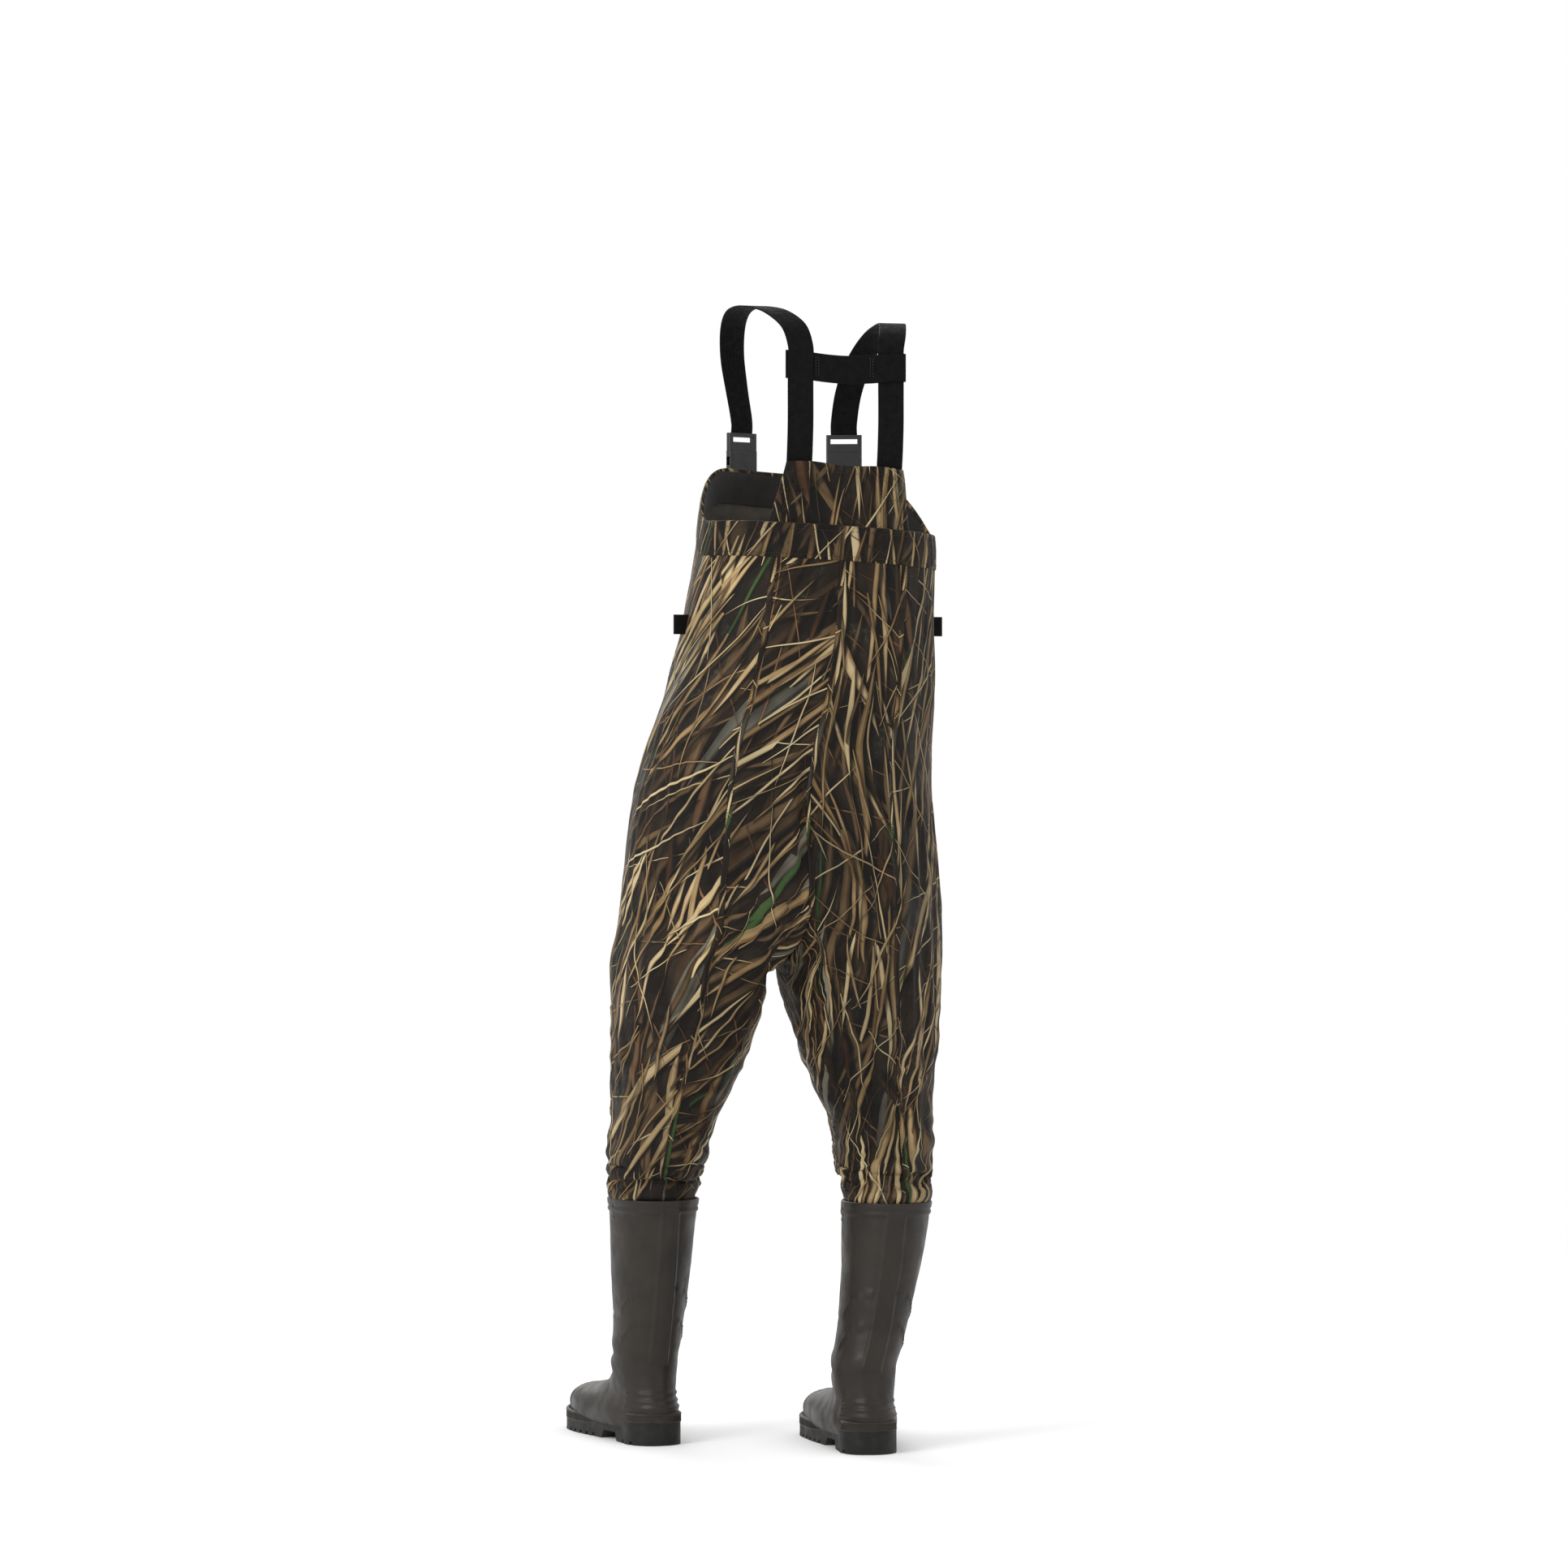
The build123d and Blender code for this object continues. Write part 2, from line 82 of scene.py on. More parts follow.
# Legs: height, centre x, centre y, half width, half depth.
LEGS = {
    "left": [
        (0.820, 0.118, -0.006, 0.104, 0.122), (0.740, 0.124, -0.012, 0.107, 0.121),
        (0.672, 0.130, -0.020, 0.110, 0.118), (0.605, 0.133, -0.034, 0.101, 0.108),
        (0.560, 0.140, -0.044, 0.096, 0.100), (0.515, 0.147, -0.054, 0.086, 0.092),
        (0.471, 0.153, -0.062, 0.077, 0.084), (0.426, 0.158, -0.070, 0.071, 0.079),
        (0.381, 0.162, -0.077, 0.065, 0.075), (0.352, 0.163, -0.085, 0.057, 0.071),
        (0.320, 0.163, -0.087, 0.052, 0.066),
    ],
    "right": [
        (0.820, -0.104, 0.004, 0.106, 0.122), (0.740, -0.106, 0.006, 0.110, 0.121),
        (0.672, -0.107, 0.008, 0.113, 0.118), (0.605, -0.111, 0.020, 0.105, 0.108),
        (0.560, -0.112, 0.028, 0.097, 0.100), (0.515, -0.112, 0.036, 0.086, 0.092),
        (0.471, -0.118, 0.043, 0.075, 0.084), (0.426, -0.123, 0.050, 0.067, 0.079),
        (0.381, -0.125, 0.056, 0.062, 0.074), (0.352, -0.127, 0.066, 0.056, 0.070),
        (0.320, -0.124, 0.068, 0.052, 0.064),
    ],
}
FABRIC = "camouflage_fabric"
HALF_SEGMENTS = 56       # from the centre back to the centre front, round one side
INSEAM_SEGMENTS = 16     # from the front to the back under the crotch
TORSO_ROWS = 60
LEG_ROWS = 56
SIDE_SEAM = 20           # column of the back side seam, after refining
DRAPE_FRAMES = 45
PINNED_ROWS = 5          # of each leg, inside its boot
SIDES = (("left", 1), ("right", -1))
UP = np.array([0, 0, 1.0])


def smooth(edge0, edge1, x):
    """0 at edge0 and 1 at edge1, with a soft start and end."""
    t = np.clip((x - edge0) / (edge1 - edge0), 0, 1)
    return t * t * (3 - 2 * t)


def station(table, z):
    """The interpolated row of a station table at height z."""
    rows = sorted(table)
    zs = [r[0] for r in rows]
    return [np.interp(z, zs, [r[k] for r in rows]) for k in range(1, len(rows[0]))]


def link(obj):
    """Puts an object into the scene."""
    bpy.context.scene.collection.objects.link(obj)
    return obj


def mesh_object(name, verts, faces, uvs=None):
    """A mesh object from arrays; uvs is one (u, v) for each face corner, in metres."""
    mesh = bpy.data.meshes.new(name)
    mesh.from_pydata([tuple(v) for v in verts], [], [tuple(f) for f in faces])
    if uvs is not None:
        layer = mesh.uv_layers.new(name="Cloth")
        layer.data.foreach_set("uv", np.asarray(uvs, np.float32).ravel())
    mesh.polygons.foreach_set("use_smooth", [True] * len(mesh.polygons))
    mesh.update()
    return link(bpy.data.objects.new(name, mesh))


def grid_faces(rows, columns, closed):
    """Quads of a grid of rows of vertices; closed joins the last column to the first."""
    faces = []
    for r in range(rows - 1):
        for c in range(columns if closed else columns - 1):
            d = (c + 1) % columns
            faces.append((r * columns + c, r * columns + d,
                          (r + 1) * columns + d, (r + 1) * columns + c))
    return faces


# ---------------------------------------------------------------------------------------------
# The shell fabric: one garment of torso and legs
# ---------------------------------------------------------------------------------------------

def hem_height(x, y):
    """Top edge of the shell: level at the back, rising to the bib, tilted with the chest."""
    rise = 1 - smooth(-0.100, 0.020, y)
    return BACK_HEM + (FRONT_HEM - BACK_HEM) * rise + (x + 0.047) * math.tan(HEM_TILT)


def torso_point(angle, z, inset=0.0):
    """A point of the torso at an angle from the centre back towards the wearer's left."""
    cx, a, b = station(TORSO, z)
    s, c = math.sin(angle), math.cos(angle)
    x = cx + (a - inset) * math.copysign(abs(s) ** 0.94, s)
    y = (b - inset) * math.copysign(abs(c) ** 0.94, c)
    # Seat: two lobes with a cleft between them, low on the back.
    side = math.degrees(math.atan2(s, c))
    height = math.exp(-((z - 0.865) / 0.075) ** 2)
    lobe = math.exp(-((abs(side) - 33) / 20) ** 2)
    cleft = math.exp(-(side / 11) ** 2)
    low_back = math.exp(-((z - 1.02) / 0.09) ** 2) * math.exp(-(side / 50) ** 2)
    y += height * (0.008 * lobe - 0.030 * cleft) - 0.006 * low_back
    return x, y


def leg_point(side, angle, z, inset=0.0):
    """A point of a leg at an angle from its back, towards the wearer's left."""
    cx, cy, a, b = station(LEGS[side], z)
    return cx + (a - inset) * math.sin(angle), cy + (b - inset) * math.cos(angle)


def garment_grid(inset=0.0):
    """Rows of points: the torso's rings, then each leg's rings. Column 0 is the centre back."""
    ring = 2 * HALF_SEGMENTS
    torso = np.zeros((TORSO_ROWS, ring, 3))
    bottom = TORSO[0][0]
    for c in range(ring):
        angle = 2 * math.pi * c / ring
        x, y = torso_point(angle, BACK_HEM, inset)
        top = hem_height(x, y)
        for r in range(TORSO_ROWS):
            z = top + (bottom - top) * r / (TORSO_ROWS - 1)
            x, y = torso_point(angle, z, inset)
            torso[r, c] = (x, y, z)
    legs = {}
    for side, sign in SIDES:
        outer = [torso[-1, (sign * c) % ring] for c in range(HALF_SEGMENTS + 1)]
        front, back = outer[-1], outer[0]
        under = []
        for k in range(1, INSEAM_SEGMENTS):
            t = k / INSEAM_SEGMENTS
            drop = 0.056 * math.sin(math.pi * t) ** 0.7
            point = front + (back - front) * t
            under.append(np.array([point[0], point[1] * 0.98, point[2] - drop]))
        top = np.array(outer + under)
        columns = len(top)
        cx, cy = station(LEGS[side], bottom)[:2]
        back_angle = math.atan2(sign * (back[0] - cx), back[1] - cy)
        front_angle = math.atan2(sign * (front[0] - cx), front[1] - cy) % (2 * math.pi)
        angles = list(np.linspace(back_angle, front_angle, HALF_SEGMENTS + 1))
        angles += list(np.linspace(front_angle, back_angle + 2 * math.pi, INSEAM_SEGMENTS + 1)[1:-1])
        rows = np.zeros((LEG_ROWS, columns, 3))
        rows[0] = top
        for c in range(columns):
            for r in range(1, LEG_ROWS):
                z = top[c, 2] + (LEG_END - top[c, 2]) * r / (LEG_ROWS - 1)
                x, y = leg_point(side, sign * angles[c], z, inset)
                reach = 0.075 if c <= HALF_SEGMENTS else 0.030
                share = float(smooth(0, reach, top[c, 2] - z))
                rows[r, c] = (top[c, 0] + (x - top[c, 0]) * share,
                              top[c, 1] + (y - top[c, 1]) * share, z)
        legs[side] = rows
    return torso, legs


def garment_mesh(name, inset=0.0):
    """The welded garment, with the index of each grid point."""
    torso, legs = garment_grid(inset)
    ring = 2 * HALF_SEGMENTS
    verts = [p for row in torso for p in row]
    faces = grid_faces(TORSO_ROWS, ring, True)
    index = {"torso": np.arange(TORSO_ROWS * ring).reshape(TORSO_ROWS, ring)}
    last = index["torso"][-1]
    shared = {}
    for side, sign in SIDES:
        rows = legs[side]
        columns = rows.shape[1]
        ids = np.zeros(rows.shape[:2], int)
        for c in range(columns):
            if c <= HALF_SEGMENTS:
                ids[0, c] = last[(sign * c) % ring]
            elif c in shared:
                ids[0, c] = shared[c]
            else:
                ids[0, c] = len(verts)
                shared[c] = len(verts)
                verts.append(rows[0, c])
        for r in range(1, rows.shape[0]):
            for c in range(columns):
                ids[r, c] = len(verts)
                verts.append(rows[r, c])
        for r in range(rows.shape[0] - 1):
            for c in range(columns):
                d = (c + 1) % columns
                quad = (ids[r, c], ids[r, d], ids[r + 1, d], ids[r + 1, c])
                faces.append(quad if sign > 0 else quad[::-1])
        index[side] = ids
    verts = np.array(verts) + HIP
    obj = mesh_object(name, verts, [tuple(int(i) for i in f) for f in faces])
    return obj, index


def leg_extra(z):
    """How much longer the leg cloth is than the form, as a share: it stacks up above the boots."""
    return 0.035 + 0.11 * float(smooth(0.60, 0.40, z))


def drape(garment, index):
    """Lets the legs of the garment fall and stack over a form of the wearer, by cloth simulation."""
    form, _ = garment_mesh("wearer_form", FORM_INSET)
    form.modifiers.new("Collision", "COLLISION")
    form.collision.thickness_outer = 0.003
    form.collision.cloth_friction = 12
    pin = garment.vertex_groups.new(name="pin")
    loose = garment.vertex_groups.new(name="extra")
    pin.add([int(i) for i in index["torso"][:3].ravel()], 1.0, "REPLACE")
    for row in range(3, TORSO_ROWS):
        pin.add([int(i) for i in index["torso"][row]], 0.10, "REPLACE")
    for side in LEGS:
        ids = index[side]
        pin.add([int(i) for i in ids[-PINNED_ROWS:].ravel()], 1.0, "REPLACE")
        for row in range(1, LEG_ROWS - PINNED_ROWS):
            z = garment.data.vertices[int(ids[row, 0])].co.z
            loose.add([int(i) for i in ids[row]], leg_extra(z) / 0.15, "REPLACE")
            pin.add([int(i) for i in ids[row]], 0.10 * float(smooth(0.62, 0.72, z)), "REPLACE")
    cloth = garment.modifiers.new("Cloth", "CLOTH")
    settings = cloth.settings
    settings.quality = 6
    settings.mass = 0.25
    settings.tension_stiffness = 25
    settings.compression_stiffness = 25
    settings.shear_stiffness = 10
    settings.bending_stiffness = 0.35
    settings.air_damping = 1
    settings.vertex_group_mass = "pin"
    settings.pin_stiffness = 1.2
    settings.vertex_group_shrink = "extra"
    settings.shrink_min = 0.0
    settings.shrink_max = -0.15
    cloth.collision_settings.distance_min = 0.003
    cloth.collision_settings.use_self_collision = False
    scene = bpy.context.scene
    cloth.point_cache.frame_start, cloth.point_cache.frame_end = 1, DRAPE_FRAMES
    scene.frame_start, scene.frame_end = 1, DRAPE_FRAMES
    for step in range(1, DRAPE_FRAMES + 1):
        scene.frame_set(step)
    graph = bpy.context.evaluated_depsgraph_get()
    final = garment.evaluated_get(graph).to_mesh()
    points = np.array([v.co for v in final.vertices])
    garment.evaluated_get(graph).to_mesh_clear()
    garment.modifiers.remove(cloth)
    scene.frame_set(1)
    bpy.data.objects.remove(form)
    return points


# ---------------------------------------------------------------------------------------------
# Wrinkles and the finished shell
# ---------------------------------------------------------------------------------------------

def refine(grid, axis):
    """Puts a point between each two along an axis, on a smooth curve through them."""
    g = np.moveaxis(grid, axis, 0)
    before = np.concatenate([2 * g[:1] - g[1:2], g[:-2]])
    after = np.concatenate([g[2:], 2 * g[-1:] - g[-2:-1]])
    middle = (9 * (g[:-1] + g[1:]) - before - after) / 16
    out = np.empty((2 * len(g) - 1,) + g.shape[1:])
    out[0::2], out[1::2] = g, middle
    return np.moveaxis(out, 0, axis)


def ridge(x, y, z):
    """A fold field between 0 and 1: broad rounded tops between sharper valleys."""
    return 1 - abs(noise.noise((x, y, z))) * 2


def wrinkle(side, across, z, facing_back):
    """How far the cloth stands out at a point, in metres.

    across is the distance round the body from the outer side, z the height and facing_back 1 at
    the back and -1 at the front.
    """
    seed = 0.0 if side == "left" else 17.3
    near_boot = float(smooth(0.50, 0.40, z)) * float(smooth(0.325, 0.350, z))
    stack = ridge(across * 7 + seed, z * 34 + across * 5 * math.sin(seed + 1), seed)
    stack = stack * 0.0060 * near_boot
    knee = math.exp(-((z - 0.535) / 0.075) ** 2) * (0.35 + 0.65 * max(0.0, facing_back))
    behind = ridge(across * 6 + z * 9, z * 24 - across * 8, 3 + seed) * 0.0064 * knee
    thigh = math.exp(-((z - 0.700) / 0.11) ** 2)
    long_folds = ridge(across * 11 + z * 2.5, z * 3.2, 7 + seed) * 0.0072 * thigh
    seat = math.exp(-((z - 0.760) / 0.075) ** 2) * max(0.0, facing_back)
    drag = ridge(across * 9 - z * 13, z * 9 + across * 4, 11 + seed) * 0.0054 * seat
    waist = math.exp(-((z - 1.03) / 0.14) ** 2)
    side_folds = ridge(across * 10 + z * 3, z * 6, 19 + seed) * 0.0044 * waist
    broad = noise.noise((across * 5, z * 5, 23 + seed)) * 0.0035
    fine = noise.noise((across * 38, z * 30, 29 + seed)) * 0.0007
    return stack + behind + long_folds + drag + side_folds + broad + fine


def arc_lengths(grid, start):
    """Distance along each row from the column start, negative before it."""
    steps = np.linalg.norm(np.diff(grid, axis=1), axis=2)
    total = np.concatenate([np.zeros((len(grid), 1)), np.cumsum(steps, axis=1)], axis=1)
    return total - total[:, start:start + 1]


def half_shell(side, sign, index, rest, points):
    """The refined patches of one half, outer and inseam: rest points, draped points and the
    distance round the cloth from the outer side."""
    ring = 2 * HALF_SEGMENTS
    torso_ids = np.array([[row[(sign * k) % ring] for k in range(HALF_SEGMENTS + 1)]
                          for row in index["torso"]])
    leg_ids = index[side]
    outer_ids = np.vstack([torso_ids, leg_ids[1:, :HALF_SEGMENTS + 1]])
    columns = list(range(HALF_SEGMENTS, leg_ids.shape[1])) + [0]
    inner_ids = leg_ids[:, columns]
    patches = {}
    for name, ids in (("outer", outer_ids), ("inner", inner_ids)):
        flat = refine(refine(rest[ids], 0), 1)
        grid = refine(refine(points[ids], 0), 1)
        patches[name] = [flat, grid]
    first = 2 * (TORSO_ROWS - 1)
    for k in (0, 1):
        patches["inner"][k][:, 0] = patches["outer"][k][first:, -1]
        patches["inner"][k][:, -1] = patches["outer"][k][first:, 0]
    middle = HALF_SEGMENTS
    for name in patches:
        flat, grid = patches[name]
        if name == "outer":
            across = arc_lengths(flat, middle)
            edge_front, edge_back = across[first:, -1], across[first:, 0]
        else:
            steps = arc_lengths(flat, 0)
            forward = edge_front[:, None] + steps
            backward = edge_back[:, None] - (steps[:, -1:] - steps)
            across = (forward, backward)
        patches[name].append(across)
    return patches


def shell_normals(grid, sign):
    """Outward normals of a patch of the shell."""
    along = np.gradient(grid, axis=1)
    down = np.gradient(grid, axis=0)
    normal = np.cross(along, down) * sign
    return normal / np.maximum(np.linalg.norm(normal, axis=2, keepdims=True), 1e-9)


def add_wrinkles(side, sign, patches):
    """Moves the patches' points out and in by the wrinkle field, easing off at the centre seam."""
    rows = 2 * (TORSO_ROWS - 1)
    flat, grid, across = patches["outer"]
    normal = shell_normals(grid, sign)
    count = grid.shape[1] - 1
    for r in range(grid.shape[0]):
        top_fade = float(smooth(0, 0.05, flat[0, 0, 2] - flat[r, 0, 2]))
        for c in range(grid.shape[1]):
            edge = min(c, count - c) / 6
            fade = 1.0 if r > rows + 12 else float(smooth(0, 1, edge))
            facing = math.cos(math.pi * c / count)
            move = wrinkle(side, across[r, c], flat[r, c, 2], facing)
            grid[r, c] += normal[r, c] * move * fade * (0.25 + 0.75 * top_fade)
    flat_in, grid_in, (forward, backward) = patches["inner"]
    normal = shell_normals(grid_in, sign)
    columns = grid_in.shape[1]
    for r in range(grid_in.shape[0]):
        fade = float(smooth(0, 12, r))
        start = grid[rows + r, -1] - grid_in[r, 0]
        end = grid[rows + r, 0] - grid_in[r, -1]
        for c in range(columns):
            t = c / (columns - 1)
            inside = math.sin(math.pi * t)
            move = wrinkle(side, forward[r, c], flat_in[r, c, 2], 0.3) * fade * inside
            shift = start * (1 - t) ** 2 + end * t ** 2
            grid_in[r, c] += normal[r, c] * move + shift


PANEL_PRINT = {
    # Turn of the print in degrees and its shift, in metres, on each panel.
    ("left", "back"): (40, 0.30, 0.10), ("left", "front"): (22, 1.35, 0.60),
    ("right", "back"): (-8, 2.60, 1.20), ("right", "front"): (6, 3.90, 0.20),
}


def print_place(side, panel, across, z):
    """Where a point of a panel lies on the printed cloth."""
    turn, shift_u, shift_v = PANEL_PRINT[side, panel]
    turn = math.radians(turn)
    u = -across if side == "left" else across
    return (u * math.cos(turn) - z * math.sin(turn) + shift_u,
            u * math.sin(turn) + z * math.cos(turn) + shift_v)


def shell_mesh(side, sign, patches):
    """One half of the shell as a mesh, welded along the shared columns, with the print on it."""
    flat, grid, across = patches["outer"]
    flat_in, grid_in, (forward, backward) = patches["inner"]
    rows, columns = grid.shape[:2]
    rows_in, columns_in = grid_in.shape[:2]
    first = rows - rows_in
    verts = list(grid.reshape(-1, 3))
    ids = np.arange(rows * columns).reshape(rows, columns)
    ids_in = np.zeros((rows_in, columns_in), int)
    ids_in[:, 0] = ids[first:, -1]
    ids_in[:, -1] = ids[first:, 0]
    for r in range(rows_in):
        for c in range(1, columns_in - 1):
            ids_in[r, c] = len(verts)
            verts.append(grid_in[r, c])
    faces, uvs = [], []

    def add(corners, places):
        if sign < 0:
            corners, places = corners[::-1], places[::-1]
        faces.append([int(i) for i in corners])
        uvs.extend(places)

    for r in range(rows - 1):
        for c in range(columns - 1):
            panel = "back" if c < SIDE_SEAM else "front"
            around = [(r, c), (r, c + 1), (r + 1, c + 1), (r + 1, c)]
            add([ids[p] for p in around],
                [print_place(side, panel, across[p], flat[p][2]) for p in around])
    half = columns_in // 2
    for r in range(rows_in - 1):
        for c in range(columns_in - 1):
            panel, distance = ("front", forward) if c < half else ("back", backward)
            around = [(r, c), (r, c + 1), (r + 1, c + 1), (r + 1, c)]
            add([ids_in[p] for p in around],
                [print_place(side, panel, distance[p], flat_in[p][2]) for p in around])
    return mesh_object(side + "_shell", verts, faces, uvs)


def bake(obj):
    """Turns an object's modifiers into its mesh."""
    graph = bpy.context.evaluated_depsgraph_get()
    graph.update()
    mesh = bpy.data.meshes.new_from_object(obj.evaluated_get(graph), depsgraph=graph)
    obj.modifiers.clear()
    obj.data = mesh
    return obj


def thicken(obj, thickness, inner_material=None):
    """Gives cloth its thickness, inwards, with its own material inside."""
    if inner_material:
        obj.data.materials.append(inner_material)
    solid = obj.modifiers.new("Thickness", "SOLIDIFY")
    solid.thickness = thickness
    solid.offset = -1
    solid.material_offset = 1 if inner_material else 0
    return bake(obj)


def place_piece(obj, slot_name, *nodes):
    """Hides the CAD nodes given, if any, so that the piece stands in their place."""
    if nodes:
        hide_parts(*nodes)


def on_body(obj, body, slot_name, *nodes):
    """Fastens a piece to a body."""
    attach(obj, body)
    place_piece(obj, slot_name, *nodes)


def on_leg(obj, side, *nodes):
    """Bakes the cloth's placement into its mesh and hides the CAD nodes it stands in for."""
    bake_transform(obj)
    place_piece(obj, FABRIC, *nodes)


# ---------------------------------------------------------------------------------------------
# Strips, stitches and webbing
# ---------------------------------------------------------------------------------------------

def run_length(points):
    """Distance along a row of points."""
    return np.concatenate([[0], np.cumsum(np.linalg.norm(np.diff(points, axis=0), axis=1))])


def curve_between(a, b, c, d, t):
    """A point between b and c of a smooth curve through a, b, c and d."""
    return 0.5 * (2 * b + (c - a) * t + (2 * a - 5 * b + 4 * c - d) * t ** 2
                  + (3 * b - a - 3 * c + d) * t ** 3)


def tangents_of(points):
    """Unit vectors along a row of points."""
    tangents = np.gradient(points, axis=0)
    return tangents / np.maximum(np.linalg.norm(tangents, axis=1, keepdims=True), 1e-9)


def sweep(name, points, across, out, profile, uv_shift=(0, 0)):
    """Sweeps a profile of (across, out) pairs in metres along points."""
    points, across, out = np.asarray(points), np.asarray(across), np.asarray(out)
    count = len(profile)
    verts = [p + a * w + o * h for p, a, o in zip(points, across, out) for w, h in profile]
    length = run_length(points)
    faces, uvs = [], []
    for r in range(len(points) - 1):
        for c in range(count):
            d = (c + 1) % count
            around = ((r, c), (r, d), (r + 1, d), (r + 1, c))
            faces.append([row * count + column for row, column in around])
            for row, column in around:
                uvs.append((profile[column][0] + uv_shift[0], length[row] + uv_shift[1]))
    for row, turn in ((0, 1), (len(points) - 1, -1)):
        cap = [row * count + c for c in range(count)][::-turn]
        faces.append(cap)
        uvs.extend([(profile[k % count][0] + uv_shift[0], length[row] + uv_shift[1]) for k in cap])
    obj = mesh_object(name, verts, faces, uvs)
    fix_normals(obj)
    return obj


def fix_normals(obj):
    """Turns all faces outwards."""
    work = bmesh.new()
    work.from_mesh(obj.data)
    bmesh.ops.recalc_face_normals(work, faces=work.faces)
    work.to_mesh(obj.data)
    work.free()


def web_profile(width, thickness):
    """Cross-section of webbing: flat faces and round selvedges."""
    w, t = width / 2, thickness / 2
    edge = [(w - t * 0.9, t), (w - t * 0.25, t * 0.75), (w, 0), (w - t * 0.25, -t * 0.75),
            (w - t * 0.9, -t)]
    flat_low = [(x, -t) for x in np.linspace(w * 0.75, -w * 0.75, 6)]
    other = [(-x, -y) for x, y in edge]
    flat_high = [(x, t) for x in np.linspace(-w * 0.75, w * 0.75, 6)]
    return edge + flat_low + other + flat_high


def smooth_route(points, step=0.004):
    """Points at even steps along a smooth curve through the route's points."""
    p = np.asarray(points, float)
    p = np.vstack([2 * p[0] - p[1], p, 2 * p[-1] - p[-2]])
    out = []
    for k in range(1, len(p) - 2):
        out += [curve_between(*p[k - 1:k + 3], t) for t in np.linspace(0, 1, 24, endpoint=False)]
    out.append(p[-2])
    out = np.array(out)
    length = run_length(out)
    even = np.linspace(0, length[-1], max(2, int(length[-1] / step) + 1))
    return np.stack([np.interp(even, length, out[:, k]) for k in range(3)], axis=1)


def upright_frames(points):
    """Across and out vectors of a strip whose width stands upright along its points."""
    across = np.tile(UP, (len(points), 1))
    out = np.cross(tangents_of(points), across)
    out /= np.linalg.norm(out, axis=1, keepdims=True)
    return across, out


def strap_frames(points, turns):
    """Across and out vectors of a strap along points, its width turned about Z by turns degrees."""
    tangents = tangents_of(points)
    across = []
    for tangent, turn in zip(tangents, turns):
        a = np.array([math.cos(math.radians(turn)), math.sin(math.radians(turn)), 0])
        a = a - tangent * a.dot(tangent)
        across.append(a / np.linalg.norm(a))
    across = np.array(across)
    return across, np.cross(tangents, across)


def stitches(name, lines, pitch=0.0040, length=0.0030, radius=0.00034):
    """Sewing thread along lines of (points, normals): one short raised stitch after another."""
    verts, faces = [], []
    for points, normals in lines:
        points, normals = np.asarray(points, float), np.asarray(normals, float)
        run = run_length(points)
        for start in np.arange(pitch / 2, run[-1] - length, pitch):
            ends = [np.array([np.interp(s, run, points[:, k]) for k in range(3)])
                    for s in (start, start + length)]
            n = np.array([np.interp(start, run, normals[:, k]) for k in range(3)])
            n /= np.linalg.norm(n)
            d = (ends[1] - ends[0]) / length
            b = np.cross(d, n)
            base = len(verts)
            verts.append(ends[0] - n * radius)
            for low in (0.3, 0.7):
                m = ends[0] + (ends[1] - ends[0]) * low
                verts.extend([m + b * radius, m + n * radius * 1.1, m - b * radius, m - n * radius])
            verts.append(ends[1] - n * radius)
            for k in range(4):
                j = (k + 1) % 4
                faces.append((base, base + 1 + j, base + 1 + k))
                faces.append((base + 1 + k, base + 1 + j, base + 5 + j, base + 5 + k))
                faces.append((base + 5 + k, base + 5 + j, base + 9))
    obj = mesh_object(name, verts, faces)
    fix_normals(obj)
    return obj


def felled_seam(name, points, normals, across, width=0.009, height=0.0011):
    """A raised, rounded strip of folded cloth over a seam."""
    profile = [(-width / 2, -0.0012), (-width * 0.42, height * 0.7), (-width * 0.2, height),
               (width * 0.2, height), (width * 0.42, height * 0.7), (width / 2, -0.0012)]
    return sweep(name, points, across, normals, profile)


# ---------------------------------------------------------------------------------------------
# Boots
# ---------------------------------------------------------------------------------------------

# Rings of a boot from its top to its toe, in its own frame, in millimetres:
# front or upper point (y, z), back or lower point (y, z), half width.
BOOT_RINGS = [
    (-75, 340, 75, 340, 60), (-73, 318, 73, 318, 58.6), (-71, 295, 71, 295, 57),
    (-67, 250, 67, 250, 54),
    (-63, 208, 63, 205, 50.5), (-59.5, 165, 59, 160, 47), (-57, 132, 57, 120, 45),
    (-60, 112, 57, 95, 43), (-70, 98, 61, 72, 41), (-86, 87, 65, 50, 39.5), (-104, 79, 62, 28, 42),
    (-120, 75, 35, 18, 45), (-138, 72, 0, 16, 48), (-155, 69, -45, 14, 50.5),
    (-175, 65, -100, 12, 50), (-195, 60, -150, 12, 47), (-214, 52, -195, 12, 38),
    (-228, 42, -222, 16, 26), (-235, 30, -236, 22, 8),
]
# Share of a shaft's lean at each height.
BOOT_LEAN = [(0, 0.0), (115, 0.0), (165, 0.35), (250, 0.75), (340, 1.0)]
# Place x and y, turn in degrees, lean of the top in x and y, and the sign of the outer side.
BOOTS = {
    "left": (168, -107, 3, -4, 22, 1),
    "right": (-86, 86, -7, -38, -24, -1),
}
BOOT_COLUMNS = 176
# Height of the sole's top at each y.
SOLE_TOP = [(-260, 22), (-190, 16), (-110, 16), (-60, 20), (-22, 25), (5, 31), (90, 31)]
# The sole's plan: y, and how far it reaches to the outer and to the inner side.
FOOT_EDGE = [(45, 37, 36), (10, 39, 37), (-30, 41, 38), (-70, 46, 43), (-110, 52, 49),
             (-150, 55, 52), (-190, 50, 51), (-216, 36, 40), (-230, 20, 27)]
